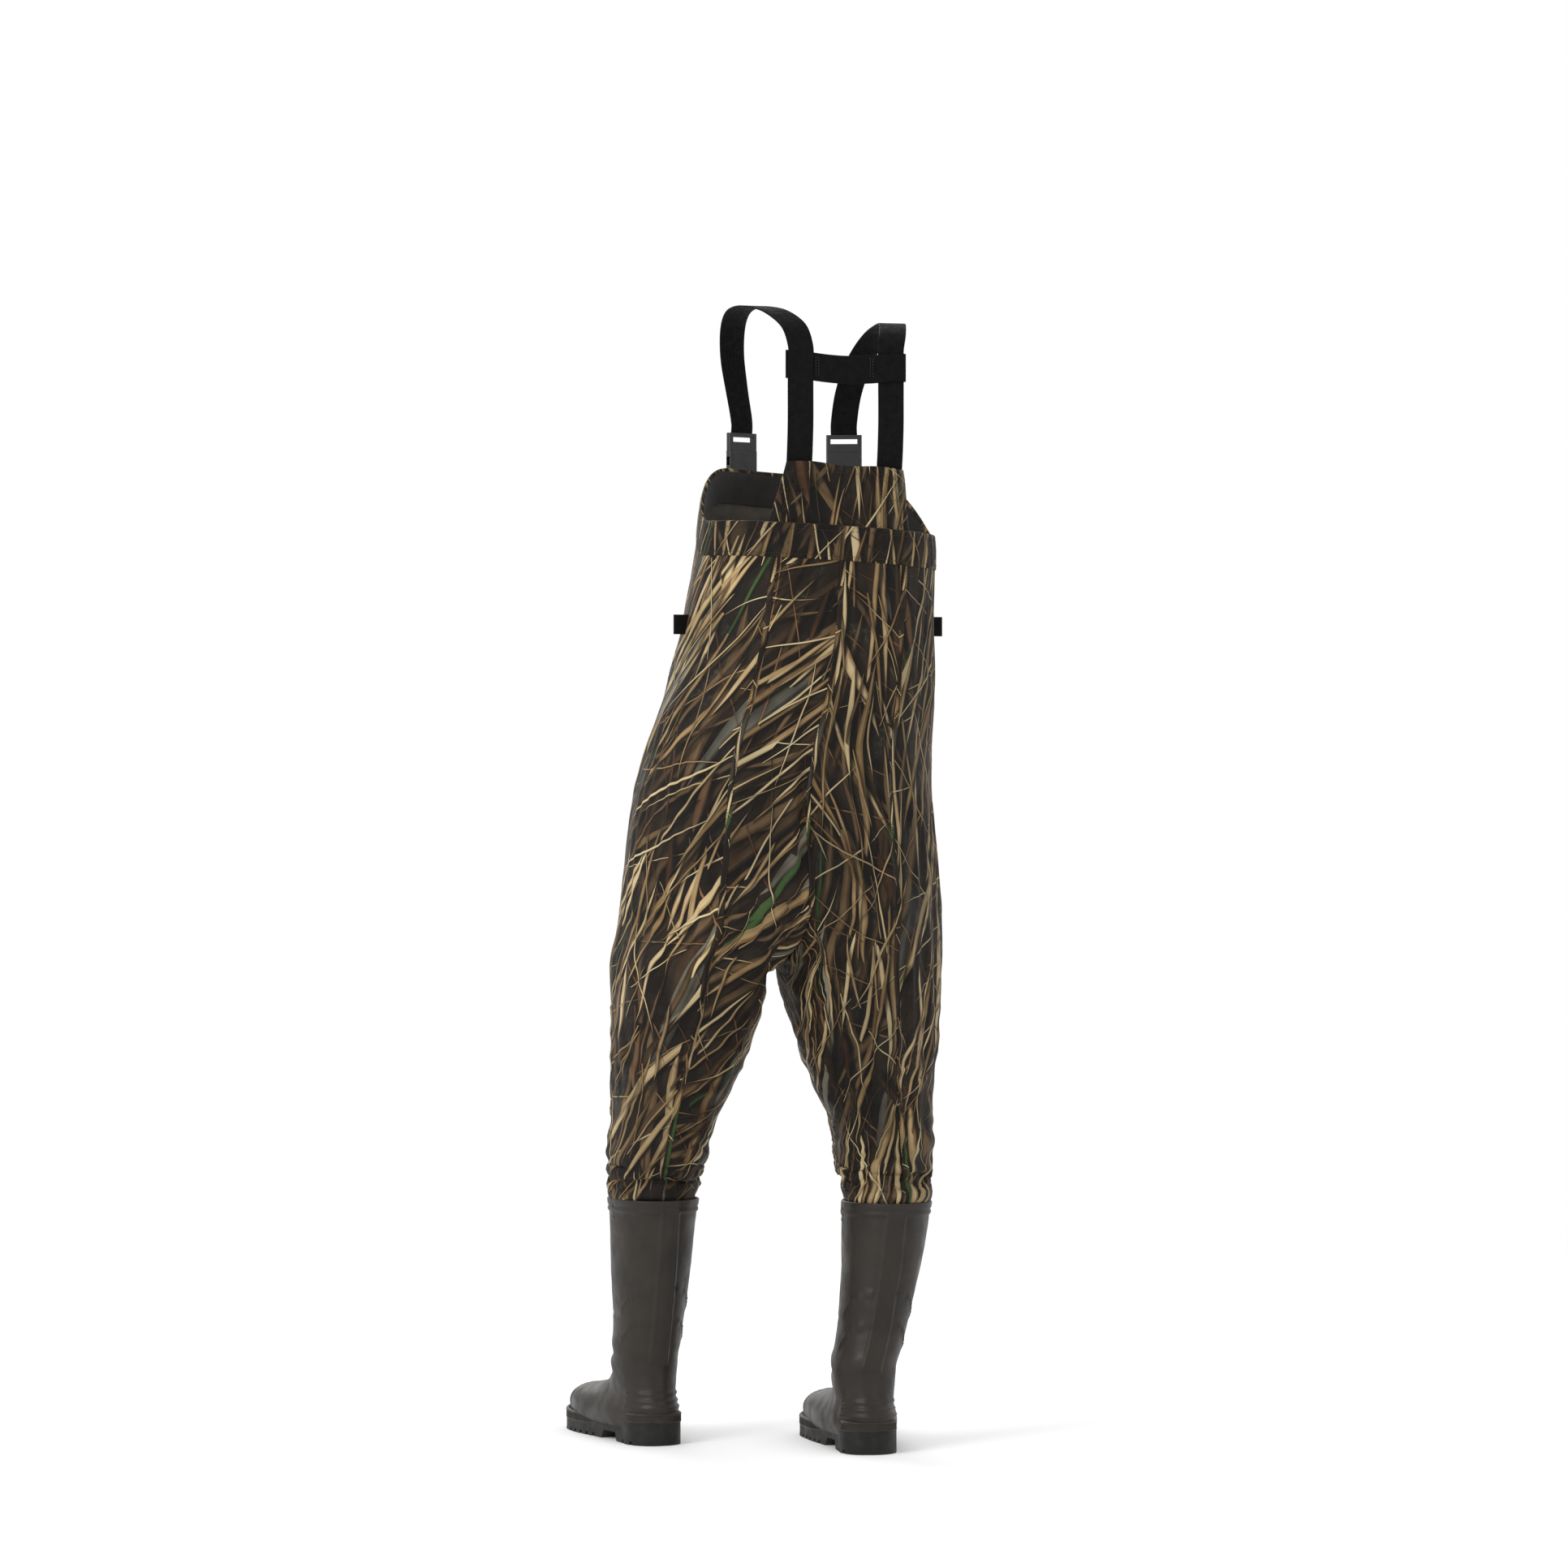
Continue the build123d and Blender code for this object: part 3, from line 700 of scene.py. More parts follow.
# Cross-section of the band above the sole: how far out and how high.
RAND_PROFILE = [(-5.0, 0.1), (0.3, 0.1), (0.6, 1.0), (0.2, 2.2), (0.2, 4.0), (0.2, 6.0), (0.2, 8.0),
                (0.2, 10.2), (0.9, 11.2), (0.6, 12.6), (-0.4, 13.4), (-1.8, 13.8), (-5.0, 13.4)]
RAND_RIB_PITCH = 3.9
# The inner wall of a shaft: the outer row it follows, how far inside it lies and how much lower.
INNER_WALL = ((14, 3.6, 0), (7, 3.6, 0), (3, 3.6, 0), (0, 3.5, 1.5), (0, 2.6, 0.3), (0, 1.2, 0.2),
              (0, 0.4, 1.0))
TOE_CAP_Y = -168
CUFF_LOW, CUFF_LINE = 320.5, 329
STAY_LOW = 109
ARC_STARTS = (216, 175)
HEEL_RIBS = (51, 60, 70)
SIDE_RIBS = (314, 321, 329)
ANKLE = 118


def lean_share(z):
    """How much of its lean a shaft has at height z."""
    return float(np.interp(z, [row[0] for row in BOOT_LEAN], [row[1] for row in BOOT_LEAN]))


def bell(value, width):
    """1 at zero, falling to 0 beyond width."""
    t = min(1.0, abs(value) / width)
    return (1 - t * t) ** 2


def boot_relief(x, y, z, boot):
    """Height of the moulded details at a point of a boot's skin, in millimetres."""
    # The cuff and its line, and the stay up the back.
    cuff = float(smooth(CUFF_LOW, CUFF_LOW + 2.5, z))
    relief = 2.0 * cuff
    relief -= 1.3 * bell(z - CUFF_LINE, 2.2)
    back = y > 0
    stay = float(smooth(15.2, 13.2, abs(x))) if back else 0.0
    relief += 1.9 * stay * float(smooth(STAY_LOW, STAY_LOW + 5, z)) * (1 - cuff)
    relief += 0.9 * stay * bell(abs(x) - 10.5, 1.8) * float(smooth(116, 122, z))
    # Arcs from the stay, the crease across the front, ribs on the heel and under the rim.
    for start in ARC_STARTS:
        forward = (60 - y) / 48
        if 0 <= forward <= 1 and back:
            line = start - 40 * forward ** 1.7
            relief += 1.9 * bell(z - line, 3.4) * float(smooth(1.0, 0.85, forward))
    crease_depth = 2.0 if boot == "left" else 1.1
    if y < 30 and z > 150:
        crease = z - 179 - 1.5 * math.sin(y / 14)
        relief -= crease_depth * bell(crease, 2.8) * float(smooth(30, 16, y))
    for height in HEEL_RIBS:
        if y > 20:
            relief += 2.1 * bell(z - height, 3.4) * float(smooth(22, 26, y))
    for height in SIDE_RIBS:
        relief += 1.3 * bell(z - height, 2.2) * float(smooth(9.5, 7.5, abs(y + 4)))
    # The foot swells to meet the rand, and the toe cap stands out.
    relief += 3.8 * float(smooth(76, 44, z)) * float(smooth(-200, -140, y))
    if z < 100:
        relief += 1.2 * float(smooth(TOE_CAP_Y + 1.5, TOE_CAP_Y - 1.5, y))
        relief += 0.6 * bell(y - TOE_CAP_Y, 2.5)
    # Soft folds at the ankle, then the unevenness of worn rubber.
    front = float(smooth(10, -35, y))
    ankle = math.exp(-((z - ANKLE) / 26) ** 2) * front
    phase = 0 if boot == "left" else 2
    relief += 2.2 * ankle * math.sin((z + 0.35 * abs(x) + 0.25 * y) / 5.6 + phase)
    back_fold = math.exp(-((z - 128) / 18) ** 2) * float(smooth(0, 30, y)) * (1 - stay)
    relief += 0.9 * back_fold * math.sin(z / 6.5 + x / 30)
    seed = 0 if boot == "left" else 9
    relief += 2.4 * noise.noise((x / 70, y / 70, z / 85 + seed)) * (0.3 + 0.7 * lean_share(z))
    relief += 0.35 * noise.noise((x / 14, y / 14, z / 14 + seed))
    return relief


def boot_place(points, boot):
    """From a boot's own frame in millimetres to the row's frame in metres."""
    x, y, turn, _, _, _ = BOOTS[boot]
    turn = math.radians(turn)
    points = np.asarray(points, float)
    px = points[..., 0] * math.cos(turn) - points[..., 1] * math.sin(turn) + x
    py = points[..., 0] * math.sin(turn) + points[..., 1] * math.cos(turn) + y
    return np.stack([px, py, points[..., 2]], axis=-1) / 1000 + HIP


def boot_mesh(boot):
    """The moulded boot in one piece, from its rim to its toe."""
    _, _, _, lean_x, lean_y, sign = BOOTS[boot]
    rails = refine(refine(refine(np.array(BOOT_RINGS, float), 0), 0), 0)
    shift_at = [(y, (outer - inner) / 2) for y, outer, inner in FOOT_EDGE]
    rows = []
    for fy, fz, by, bz, half in rails:
        row = np.zeros((BOOT_COLUMNS, 3))
        for c in range(BOOT_COLUMNS):
            angle = 2 * math.pi * c / BOOT_COLUMNS
            co, si = math.cos(angle), math.sin(angle)
            square = float(smooth(-60, -140, fy)) * 0.22
            spread = math.copysign(abs(si) ** (1 - square), si)
            t = (1 + math.copysign(abs(co) ** (1 - square), co)) / 2
            y, z = fy * t + by * (1 - t), fz * t + bz * (1 - t)
            low = float(smooth(140, 60, z))
            shift = station(shift_at, y)[0] * low * sign
            share = lean_share(z)
            row[c] = (spread * half + shift + lean_x * share, y + lean_y * share, z)
        rows.append(row)
    grid = np.array(rows)
    along = np.roll(grid, -1, axis=1) - np.roll(grid, 1, axis=1)
    down = np.gradient(grid, axis=0)
    normal = np.cross(along, down)
    normal /= np.maximum(np.linalg.norm(normal, axis=2, keepdims=True), 1e-9)
    centre = grid.mean(axis=1, keepdims=True)
    if ((grid - centre) * normal).sum(axis=2).mean() < 0:
        normal = -normal
    for r in range(len(grid)):
        for c in range(BOOT_COLUMNS):
            x, y, z = grid[r, c]
            share = lean_share(z)
            local = (x - lean_x * share, y - lean_y * share, z)
            grid[r, c] += normal[r, c] * boot_relief(*local, boot)
    # The inner wall comes up inside the outer one, and the rim rolls over between them.
    inner_rows = []
    for source, step_in, drop in INNER_WALL:
        ring = grid[source]
        inward = (ring.mean(axis=0) - ring) * (1, 1, 0)
        inward /= np.linalg.norm(inward, axis=1, keepdims=True)
        inner_rows.append(ring + inward * step_in - np.array([0, 0, drop]))
    grid = np.concatenate([np.array(inner_rows), grid])
    grid[len(inner_rows), :, 2] -= 2.0
    count = len(grid)
    verts = list(boot_place(grid.reshape(-1, 3), boot))
    faces = grid_faces(count, BOOT_COLUMNS, True)
    tip = len(verts)
    verts.append(boot_place(grid[-1].mean(axis=0), boot))
    last = (count - 1) * BOOT_COLUMNS
    faces += [(last + c, last + (c + 1) % BOOT_COLUMNS, tip) for c in range(BOOT_COLUMNS)]
    obj = mesh_object(boot + "_boot", verts, faces)
    fix_normals(obj)
    return obj


def sole_points(sign, count=960):
    """Plan outline of a sole in the boot's own frame."""
    outer = [(25, 62)] + [(o, y) for y, o, _ in FOOT_EDGE]
    inner = [(-i, y) for y, _, i in reversed(FOOT_EDGE)] + [(-25, 62)]
    points = np.array([(0, 70)] + outer + [(-4, -238)] + inner, float)
    points[:, 0] *= sign
    loop = np.vstack([points[-1:], points, points[:2]])
    out = []
    for k in range(1, len(loop) - 2):
        out += [curve_between(*loop[k - 1:k + 3], t) for t in np.linspace(0, 1, 40, endpoint=False)]
    out = np.array(out + [out[0]])
    length = run_length(out)
    even = np.linspace(0, length[-1], count, endpoint=False)
    return np.stack([np.interp(even, length, out[:, k]) for k in range(2)], axis=1), even


def rand_mesh(boot):
    """The foxing band round the boot above its sole, with slanting ribs."""
    sign = BOOTS[boot][5]
    plan, run = sole_points(sign)
    tangent = np.roll(plan, -1, axis=0) - np.roll(plan, 1, axis=0)
    out = np.stack([tangent[:, 1], -tangent[:, 0]], axis=1)
    out /= np.linalg.norm(out, axis=1, keepdims=True)
    centre = plan.mean(axis=0)
    if ((plan - centre) * out).sum() < 0:
        out = -out
    base = station(SOLE_TOP, plan[:, 1])[0]
    count = len(plan)
    grid = np.zeros((len(RAND_PROFILE), count, 3))
    for k, (reach, height) in enumerate(RAND_PROFILE):
        ribs = np.zeros(count)
        if 2.1 < height < 10.5:
            ribs = 0.55 * np.sin((run + height * 0.8) * 2 * math.pi / RAND_RIB_PITCH)
        grid[k, :, :2] = plan + out * (reach + ribs)[:, None]
        grid[k, :, 2] = base + height
    verts = boot_place(grid.reshape(-1, 3), boot)
    faces = grid_faces(len(RAND_PROFILE), count, True)
    last = (len(RAND_PROFILE) - 1) * count
    faces += [(last + c, last + (c + 1) % count, (c + 1) % count, c) for c in range(count)]
    obj = mesh_object(boot + "_foxing", verts, faces)
    fix_normals(obj)
    return obj


# ---------------------------------------------------------------------------------------------
# Materials
# ---------------------------------------------------------------------------------------------

class Graph:
    """A short way to write node trees: a call adds a node, links its inputs, returns an output."""

    def __init__(self, tree):
        self.tree = tree

    def put(self, socket, value):
        if isinstance(value, bpy.types.NodeSocket):
            self.tree.links.new(value, socket)
        elif value is not None:
            socket.default_value = value

    def node(self, kind, inputs=(), output=0, **settings):
        node = self.tree.nodes.new(kind)
        for key, value in settings.items():
            setattr(node, key, value)
        for key, value in dict(inputs).items():
            self.put(node.inputs[key], value)
        return node.outputs[output]

    def math(self, operation, a, b=None, c=None, clamp=False):
        inputs = {0: a}
        if b is not None:
            inputs[1] = b
        if c is not None:
            inputs[2] = c
        return self.node("ShaderNodeMath", inputs, operation=operation, use_clamp=clamp)

    def ramp(self, value, low, high, to_low=0.0, to_high=1.0):
        """Smooth step of value between low and high."""
        inputs = {"Value": value, "From Min": low, "From Max": high,
                  "To Min": to_low, "To Max": to_high}
        return self.node("ShaderNodeMapRange", inputs, interpolation_type="SMOOTHSTEP", clamp=True)

    def vector(self, operation, a, b=None, output=0):
        inputs = {0: a} if b is None else {0: a, 1: b}
        return self.node("ShaderNodeVectorMath", inputs, output, operation=operation)

    def join(self, x, y, z=0.0):
        return self.node("ShaderNodeCombineXYZ", {"X": x, "Y": y, "Z": z})

    def split(self, vector):
        node = self.tree.nodes.new("ShaderNodeSeparateXYZ")
        self.put(node.inputs[0], vector)
        return node.outputs

    def noise(self, vector, scale, detail=3.0, rough=0.55):
        inputs = {"Vector": vector, "Scale": scale, "Detail": detail, "Roughness": rough}
        return self.node("ShaderNodeTexNoise", inputs)

    def mix(self, share, a, b, blend="MIX"):
        node = self.tree.nodes.new("ShaderNodeMix")
        node.data_type = "RGBA"
        node.blend_type = blend
        self.put(node.inputs["Factor"], share)
        self.put(node.inputs[6], a)
        self.put(node.inputs[7], b)
        return node.outputs[2]

    def bump(self, height, distance, strength):
        inputs = {"Height": height, "Distance": distance, "Strength": strength}
        return self.node("ShaderNodeBump", inputs)


def rgb(r, g, b):
    """A colour from 8-bit display values."""
    def linear(v):
        v = v / 255
        return v / 12.92 if v <= 0.04045 else ((v + 0.055) / 1.055) ** 2.4
    return (linear(r), linear(g), linear(b), 1.0)


def new_material(name, roughness, specular):
    """A material with its node graph and its shader."""
    material = bpy.data.materials.new(name)
    material.use_nodes = True
    tree = material.node_tree
    shader = tree.nodes["Principled BSDF"]
    shader.inputs["Roughness"].default_value = roughness
    shader.inputs["Specular IOR Level"].default_value = specular
    return material, Graph(tree), shader


def blade_layer(g, place, below, turn, length, width, colours, seed, cover, bend, spread, shadow,
                clump):
    """Scatters one layer of leaves or stalks over a colour.

    place is the cloth position in metres, turn the layer's lean in radians, length and width the
    blade's size, cover the share of the cells that hold one, bend how far the blades wander, spread
    how much their leans differ, shadow how dark the ground beside them is. A clump number gathers
    the blades into thickets of their own.
    """
    # A layer starts from the one below, so that the renderer works through them one at a time.
    place = g.node("ShaderNodeVectorMath", {0: below, 1: (1e-6,) * 3, 2: place},
                   operation="MULTIPLY_ADD")
    wander = g.noise(g.vector("ADD", place, (seed * 1.7, seed * 0.9, 0)), 5.5, 1.0)
    shift = g.math("MULTIPLY", g.math("SUBTRACT", wander, 0.5), bend * 4)
    spun = g.node("ShaderNodeVectorRotate", {"Vector": place, "Angle": turn}, rotation_type="Z_AXIS")
    x, y, _ = g.split(spun)
    x = g.math("ADD", x, shift)
    cell_width = width * 1.35 + length * spread * 0.34
    flat = g.join(g.math("MULTIPLY_ADD", x, 1 / cell_width, seed * 3.1),
                  g.math("MULTIPLY_ADD", y, 1 / length, seed * 1.3))
    cells = g.tree.nodes.new("ShaderNodeTexVoronoi")
    cells.voronoi_dimensions = "2D"
    cells.inputs["Scale"].default_value = 1.0
    cells.inputs["Randomness"].default_value = 0.85
    g.put(cells.inputs["Vector"], flat)
    picks = g.tree.nodes.new("ShaderNodeSeparateColor")
    g.put(picks.inputs[0], cells.outputs["Color"])
    pick_r, pick_g, pick_b = picks.outputs
    away = g.vector("SUBTRACT", flat, cells.outputs["Position"])
    away_x, away_y, _ = g.split(away)
    across = g.math("MULTIPLY", away_x, cell_width)
    along = g.math("MULTIPLY", away_y, length)
    lean = g.math("MULTIPLY", g.math("SUBTRACT", pick_r, 0.5), spread)
    across = g.math("SUBTRACT", across, g.math("MULTIPLY", along, lean))
    size = g.math("MULTIPLY_ADD", pick_g, 0.9, 0.45)
    ends = g.math("MULTIPLY", along, 1 / (length * 0.5))
    taper = g.math("SUBTRACT", 1.0, g.math("POWER", g.math("ABSOLUTE", ends), 2.2), clamp=True)
    half = g.math("MULTIPLY", g.math("MULTIPLY", size, taper), width * 0.5)
    edge = g.math("SUBTRACT", g.math("ABSOLUTE", across), half)
    limit = cover
    if clump:
        clump_place = g.vector("ADD", cells.outputs["Position"], (clump * 7.3, clump * 2.9, 0))
        thicket = g.noise(clump_place, 0.55, 1.0)
        limit = g.math("MULTIPLY", g.ramp(thicket, 0.40, 0.56), cover)
    kept = g.math("LESS_THAN", pick_b, limit)
    inside = g.math("MULTIPLY", g.ramp(edge, 0.0002, -0.0002), kept)
    under = g.math("SUBTRACT", across, width * 0.45)
    dark_edge = g.math("SUBTRACT", g.math("ABSOLUTE", under), half)
    dark = g.math("MULTIPLY", g.ramp(dark_edge, 0.0045, -0.001), kept)
    below = g.mix(g.math("MULTIPLY", dark, shadow), below, rgb(15, 11, 6))
    grain = g.join(g.math("MULTIPLY", across, 900), g.math("MULTIPLY", along, 14), pick_r)
    streaks = g.noise(grain, 1.0, 2.0)
    light = g.math("DIVIDE", across, g.math("MAXIMUM", half, 0.0002))
    tone = g.math("ADD", g.math("MULTIPLY", pick_b, 0.9 / max(cover, 0.1)),
                  g.math("MULTIPLY", streaks, 0.5))
    tone = g.math("SUBTRACT", tone, g.math("MULTIPLY", g.math("ABSOLUTE", light), 0.22))
    tone = g.math("SUBTRACT", tone, g.math("MULTIPLY", g.ramp(light, 0.1, 0.9), 0.25))
    fade = g.noise(g.join(g.math("MULTIPLY", along, 22), pick_g), 1.0, 2.0)
    tone = g.math("ADD", tone, g.math("MULTIPLY", g.math("SUBTRACT", fade, 0.5), 0.9), clamp=True)
    colour = g.tree.nodes.new("ShaderNodeValToRGB")
    ramp = colour.color_ramp
    ramp.elements[0].position, ramp.elements[0].color = 0.12, colours[0]
    ramp.elements[1].position, ramp.elements[1].color = 0.95, colours[-1]
    for k, middle in enumerate(colours[1:-1]):
        ramp.elements.new(0.12 + 0.83 * (k + 1) / (len(colours) - 1)).color = middle
    g.put(colour.inputs[0], tone)
    return g.mix(inside, below, colour.outputs[0])


THREAD_PITCH = 0.0009
RIB_PITCH, PICK_PITCH = 0.0024, 0.0017
REED = [rgb(66, 48, 30), rgb(118, 92, 60), rgb(158, 134, 96), rgb(190, 170, 132)]
DULL_REED = [rgb(34, 25, 16), rgb(66, 50, 33), rgb(104, 83, 57)]
DARK_REED = [rgb(20, 15, 10), rgb(42, 31, 20), rgb(66, 50, 33)]
STRAW = [rgb(112, 86, 54), rgb(164, 140, 98), rgb(196, 178, 138)]
TWIG = [rgb(50, 30, 18), rgb(96, 62, 38), rgb(128, 92, 60)]
CATTAIL = [rgb(40, 25, 15), rgb(72, 47, 29), rgb(112, 84, 56)]
GREEN = [rgb(22, 34, 18), rgb(38, 62, 30), rgb(62, 84, 44)]
BARK = [rgb(40, 38, 33), rgb(84, 80, 70), rgb(126, 120, 104)]
# Layers of the print from the lowest up: turn, length, width, colours, cover, bend, spread, shadow
# and clump number, as in blade_layer.
PRINT_LAYERS = [
    (0.10, 0.30, 0.020, DARK_REED, 1.0, 0.006, 0.30, 0.5, 0),
    (-0.45, 0.26, 0.016, DULL_REED, 0.7, 0.008, 0.35, 0.5, 0),
    (0.62, 0.24, 0.012, DULL_REED, 0.6, 0.008, 0.35, 0.6, 0),
    (0.04, 0.34, 0.024, BARK, 0.30, 0.008, 0.15, 0.7, 0),
    (0.28, 0.30, 0.013, DULL_REED, 0.75, 0.006, 0.30, 0.6, 0),
    (0.12, 0.32, 0.008, GREEN, 0.22, 0.006, 0.30, 0.6, 0),
    (-0.16, 0.26, 0.011, REED, 0.60, 0.006, 0.28, 0.8, 3),
    (-0.85, 0.22, 0.0024, TWIG, 0.9, 0.012, 0.7, 0.3, 0),
    (0.10, 0.28, 0.0085, REED, 0.85, 0.005, 0.30, 0.85, 8),
    (0.85, 0.20, 0.0020, STRAW, 0.7, 0.014, 0.8, 0.4, 0),
    (-0.35, 0.085, 0.013, CATTAIL, 0.10, 0.004, 0.5, 0.9, 0),
    (0.30, 0.30, 0.0110, STRAW, 0.42, 0.006, 0.24, 0.9, 5),
    (-0.05, 0.24, 0.0050, STRAW, 0.90, 0.006, 0.45, 0.7, 12),
    (0.15, 0.15, 0.0065, STRAW, 0.75, 0.005, 0.35, 0.9, 17),
    (0.02, 0.11, 0.0035, REED, 0.85, 0.006, 0.60, 0.8, 17),
    (-0.55, 0.18, 0.0018, STRAW, 0.7, 0.014, 0.9, 0.4, 0),
    (0.50, 0.22, 0.0026, STRAW, 0.6, 0.010, 0.6, 0.6, 0),
]


def camouflage():
    """Nylon printed with layers of marsh reeds, stalks and twigs over dark mud and bark."""
    material, g, shader = new_material("camouflage_nylon", 0.66, 0.14)
    place = g.node("ShaderNodeUVMap", uv_map="Cloth")
    mud = g.noise(place, 9, 4, 0.6)
    patch = g.ramp(g.noise(g.vector("ADD", place, (7, 3, 0)), 14, 3), 0.52, 0.68)
    colour = g.mix(g.ramp(mud, 0.35, 0.7), rgb(17, 13, 9), rgb(48, 38, 28))
    speck = g.ramp(g.noise(place, 160, 3), 0.45, 0.7)
    bark = g.mix(speck, rgb(46, 43, 37), rgb(88, 84, 74))
    colour = g.mix(g.math("MULTIPLY", patch, 0.55), colour, bark)
    for seed, layer in enumerate(PRINT_LAYERS):
        colour = blade_layer(g, place, colour, *layer[:4], seed + 1.37, *layer[4:])
    tone_and_shade = g.ramp(g.noise(g.vector("ADD", place, (2, 9, 0)), 5, 2), 0.35, 0.65, 0.60, 1.0)
    # Painted shade: cloth laid past 2 m along the print, which is the right half's panels and the
    # pieces placed further along it, is darkened to 0.8 for the shade on the side turned away from the
    # key light.
    tone_and_shade = g.math("MULTIPLY", tone_and_shade, g.ramp(g.split(place)[0], 1.9, 2.1, 1.0, 0.80))
    grey = g.node("ShaderNodeCombineColor", {0: tone_and_shade, 1: tone_and_shade, 2: tone_and_shade})
    colour = g.mix(1.0, colour, grey, "MULTIPLY")
    g.put(shader.inputs["Base Color"], colour)
    x, y, _ = g.split(place)
    warp = g.math("SINE", g.math("MULTIPLY", x, 2 * math.pi / THREAD_PITCH))
    weft = g.math("SINE", g.math("MULTIPLY", y, 2 * math.pi / THREAD_PITCH))
    g.put(shader.inputs["Normal"], g.bump(g.math("MULTIPLY", warp, weft), 0.00012, 0.5))
    grain = g.noise(place, 60, 3)
    g.put(shader.inputs["Roughness"], g.ramp(grain, 0.2, 0.8, 0.52, 0.70))
    shader.inputs["Sheen Weight"].default_value = 0.02
    shader.inputs["Sheen Roughness"].default_value = 0.5
    return material


def webbing():
    """Black polypropylene webbing: fine ribs along the strap and a woven chevron across them."""
    material, g, shader = new_material("black_webbing", 0.72, 0.12)
    place = g.node("ShaderNodeUVMap", uv_map="Cloth")
    x, y, _ = g.split(place)
    ribs = g.math("SINE", g.math("MULTIPLY", x, 2 * math.pi / RIB_PITCH))
    lean = g.math("PINGPONG", x, RIB_PITCH)
    picks = g.math("SINE", g.math("MULTIPLY", g.math("ADD", y, lean), 2 * math.pi / PICK_PITCH))
    height = g.math("MULTIPLY_ADD", ribs, 0.5, g.math("MULTIPLY", picks, 0.4))
    fuzz = g.noise(place, 700, 2)
    tone = g.math("MULTIPLY_ADD", fuzz, 0.5, g.math("MULTIPLY", height, 0.18), clamp=True)
    g.put(shader.inputs["Base Color"], g.mix(tone, rgb(1, 1, 1), rgb(8, 8, 8)))
    g.put(shader.inputs["Normal"], g.bump(height, 0.0004, 0.8))
    g.put(shader.inputs["Roughness"], g.ramp(g.noise(place, 90, 3), 0.3, 0.7, 0.55, 0.75))
    return material


def object_place(g):
    """Position on the object in metres."""
    return g.node("ShaderNodeTexCoord", output=3)


def plain_cloth(name, low, high, pitch, roughness=0.85):
    """A knitted or woven lining with a fine texture and slight mottling."""
    material, g, shader = new_material(name, roughness, 0.25)
    place = object_place(g)
    mottle = g.noise(place, 35, 4)
    g.put(shader.inputs["Base Color"], g.mix(g.ramp(mottle, 0.3, 0.7), low, high))
    cells = g.node("ShaderNodeTexVoronoi", {"Vector": place, "Scale": 1 / pitch})
    g.put(shader.inputs["Normal"], g.bump(cells, pitch * 0.4, 0.6))
    g.put(shader.inputs["Roughness"], g.ramp(mottle, 0.3, 0.7, roughness - 0.08, roughness + 0.05))
    shader.inputs["Sheen Weight"].default_value = 0.2
    return material


def rubber(name, low, high, roughness, scuff):
    """Moulded rubber: satin skin, slight mottling, pale dust near the floor and scuffed edges."""
    material, g, shader = new_material(name, roughness, 0.30)
    place = object_place(g)
    mottle = g.noise(place, 18, 5, 0.6)
    colour = g.mix(g.ramp(mottle, 0.3, 0.7), low, high)
    height = g.split(object_place(g))[2]
    dust = g.math("MULTIPLY", g.ramp(height, 0.11, 0.0), g.ramp(g.noise(place, 70, 4), 0.45, 0.75))
    colour = g.mix(g.math("MULTIPLY", dust, 0.18), colour, scuff)
    worn = g.ramp(g.node("ShaderNodeNewGeometry", output=7), 0.53, 0.60)
    colour = g.mix(g.math("MULTIPLY", worn, 0.25), colour, scuff)
    g.put(shader.inputs["Base Color"], colour)
    fine = g.noise(place, 900, 2)
    broad = g.noise(place, 60, 2)
    height = g.math("MULTIPLY_ADD", fine, 0.3, g.math("MULTIPLY", broad, 1.2))
    g.put(shader.inputs["Normal"], g.bump(height, 0.0004, 0.35))
    g.put(shader.inputs["Roughness"],
          g.ramp(g.noise(place, 40, 4), 0.3, 0.7, roughness - 0.07, roughness + 0.1))
    return material


def moulded_plastic():
    """Black moulded plastic with a fine grain."""
    material, g, shader = new_material("black_acetal", 0.42, 0.5)
    place = object_place(g)
    g.put(shader.inputs["Base Color"], g.mix(g.noise(place, 60, 3), rgb(14, 14, 14), rgb(27, 27, 27)))
    g.put(shader.inputs["Normal"], g.bump(g.noise(place, 2600, 2), 0.0002, 0.4))
    g.put(shader.inputs["Roughness"], g.ramp(g.noise(place, 120, 3), 0.3, 0.7, 0.36, 0.52))
    return material


def spring_steel():
    """Brushed steel."""
    material, g, shader = new_material("spring_steel", 0.35, 0.5)
    place = object_place(g)
    brushed = g.noise(g.vector("MULTIPLY", place, (40, 900, 900)), 1.0, 2)
    g.put(shader.inputs["Base Color"], g.mix(brushed, rgb(120, 122, 126), rgb(176, 178, 182)))
    g.put(shader.inputs["Roughness"], g.ramp(brushed, 0.3, 0.7, 0.28, 0.45))
    shader.inputs["Metallic"].default_value = 1.0
    return material


def thread_material():
    """Dark brown sewing thread with its twist."""
    material, g, shader = new_material("brown_thread", 0.7, 0.3)
    place = object_place(g)
    twist = g.node("ShaderNodeTexWave", {"Vector": place, "Scale": 900.0}, 1)
    g.put(shader.inputs["Base Color"], g.mix(twist, rgb(38, 30, 22), rgb(74, 60, 44)))
    g.put(shader.inputs["Normal"], g.bump(twist, 0.0001, 0.5))
    return material


# ---------------------------------------------------------------------------------------------
# The garment
# ---------------------------------------------------------------------------------------------

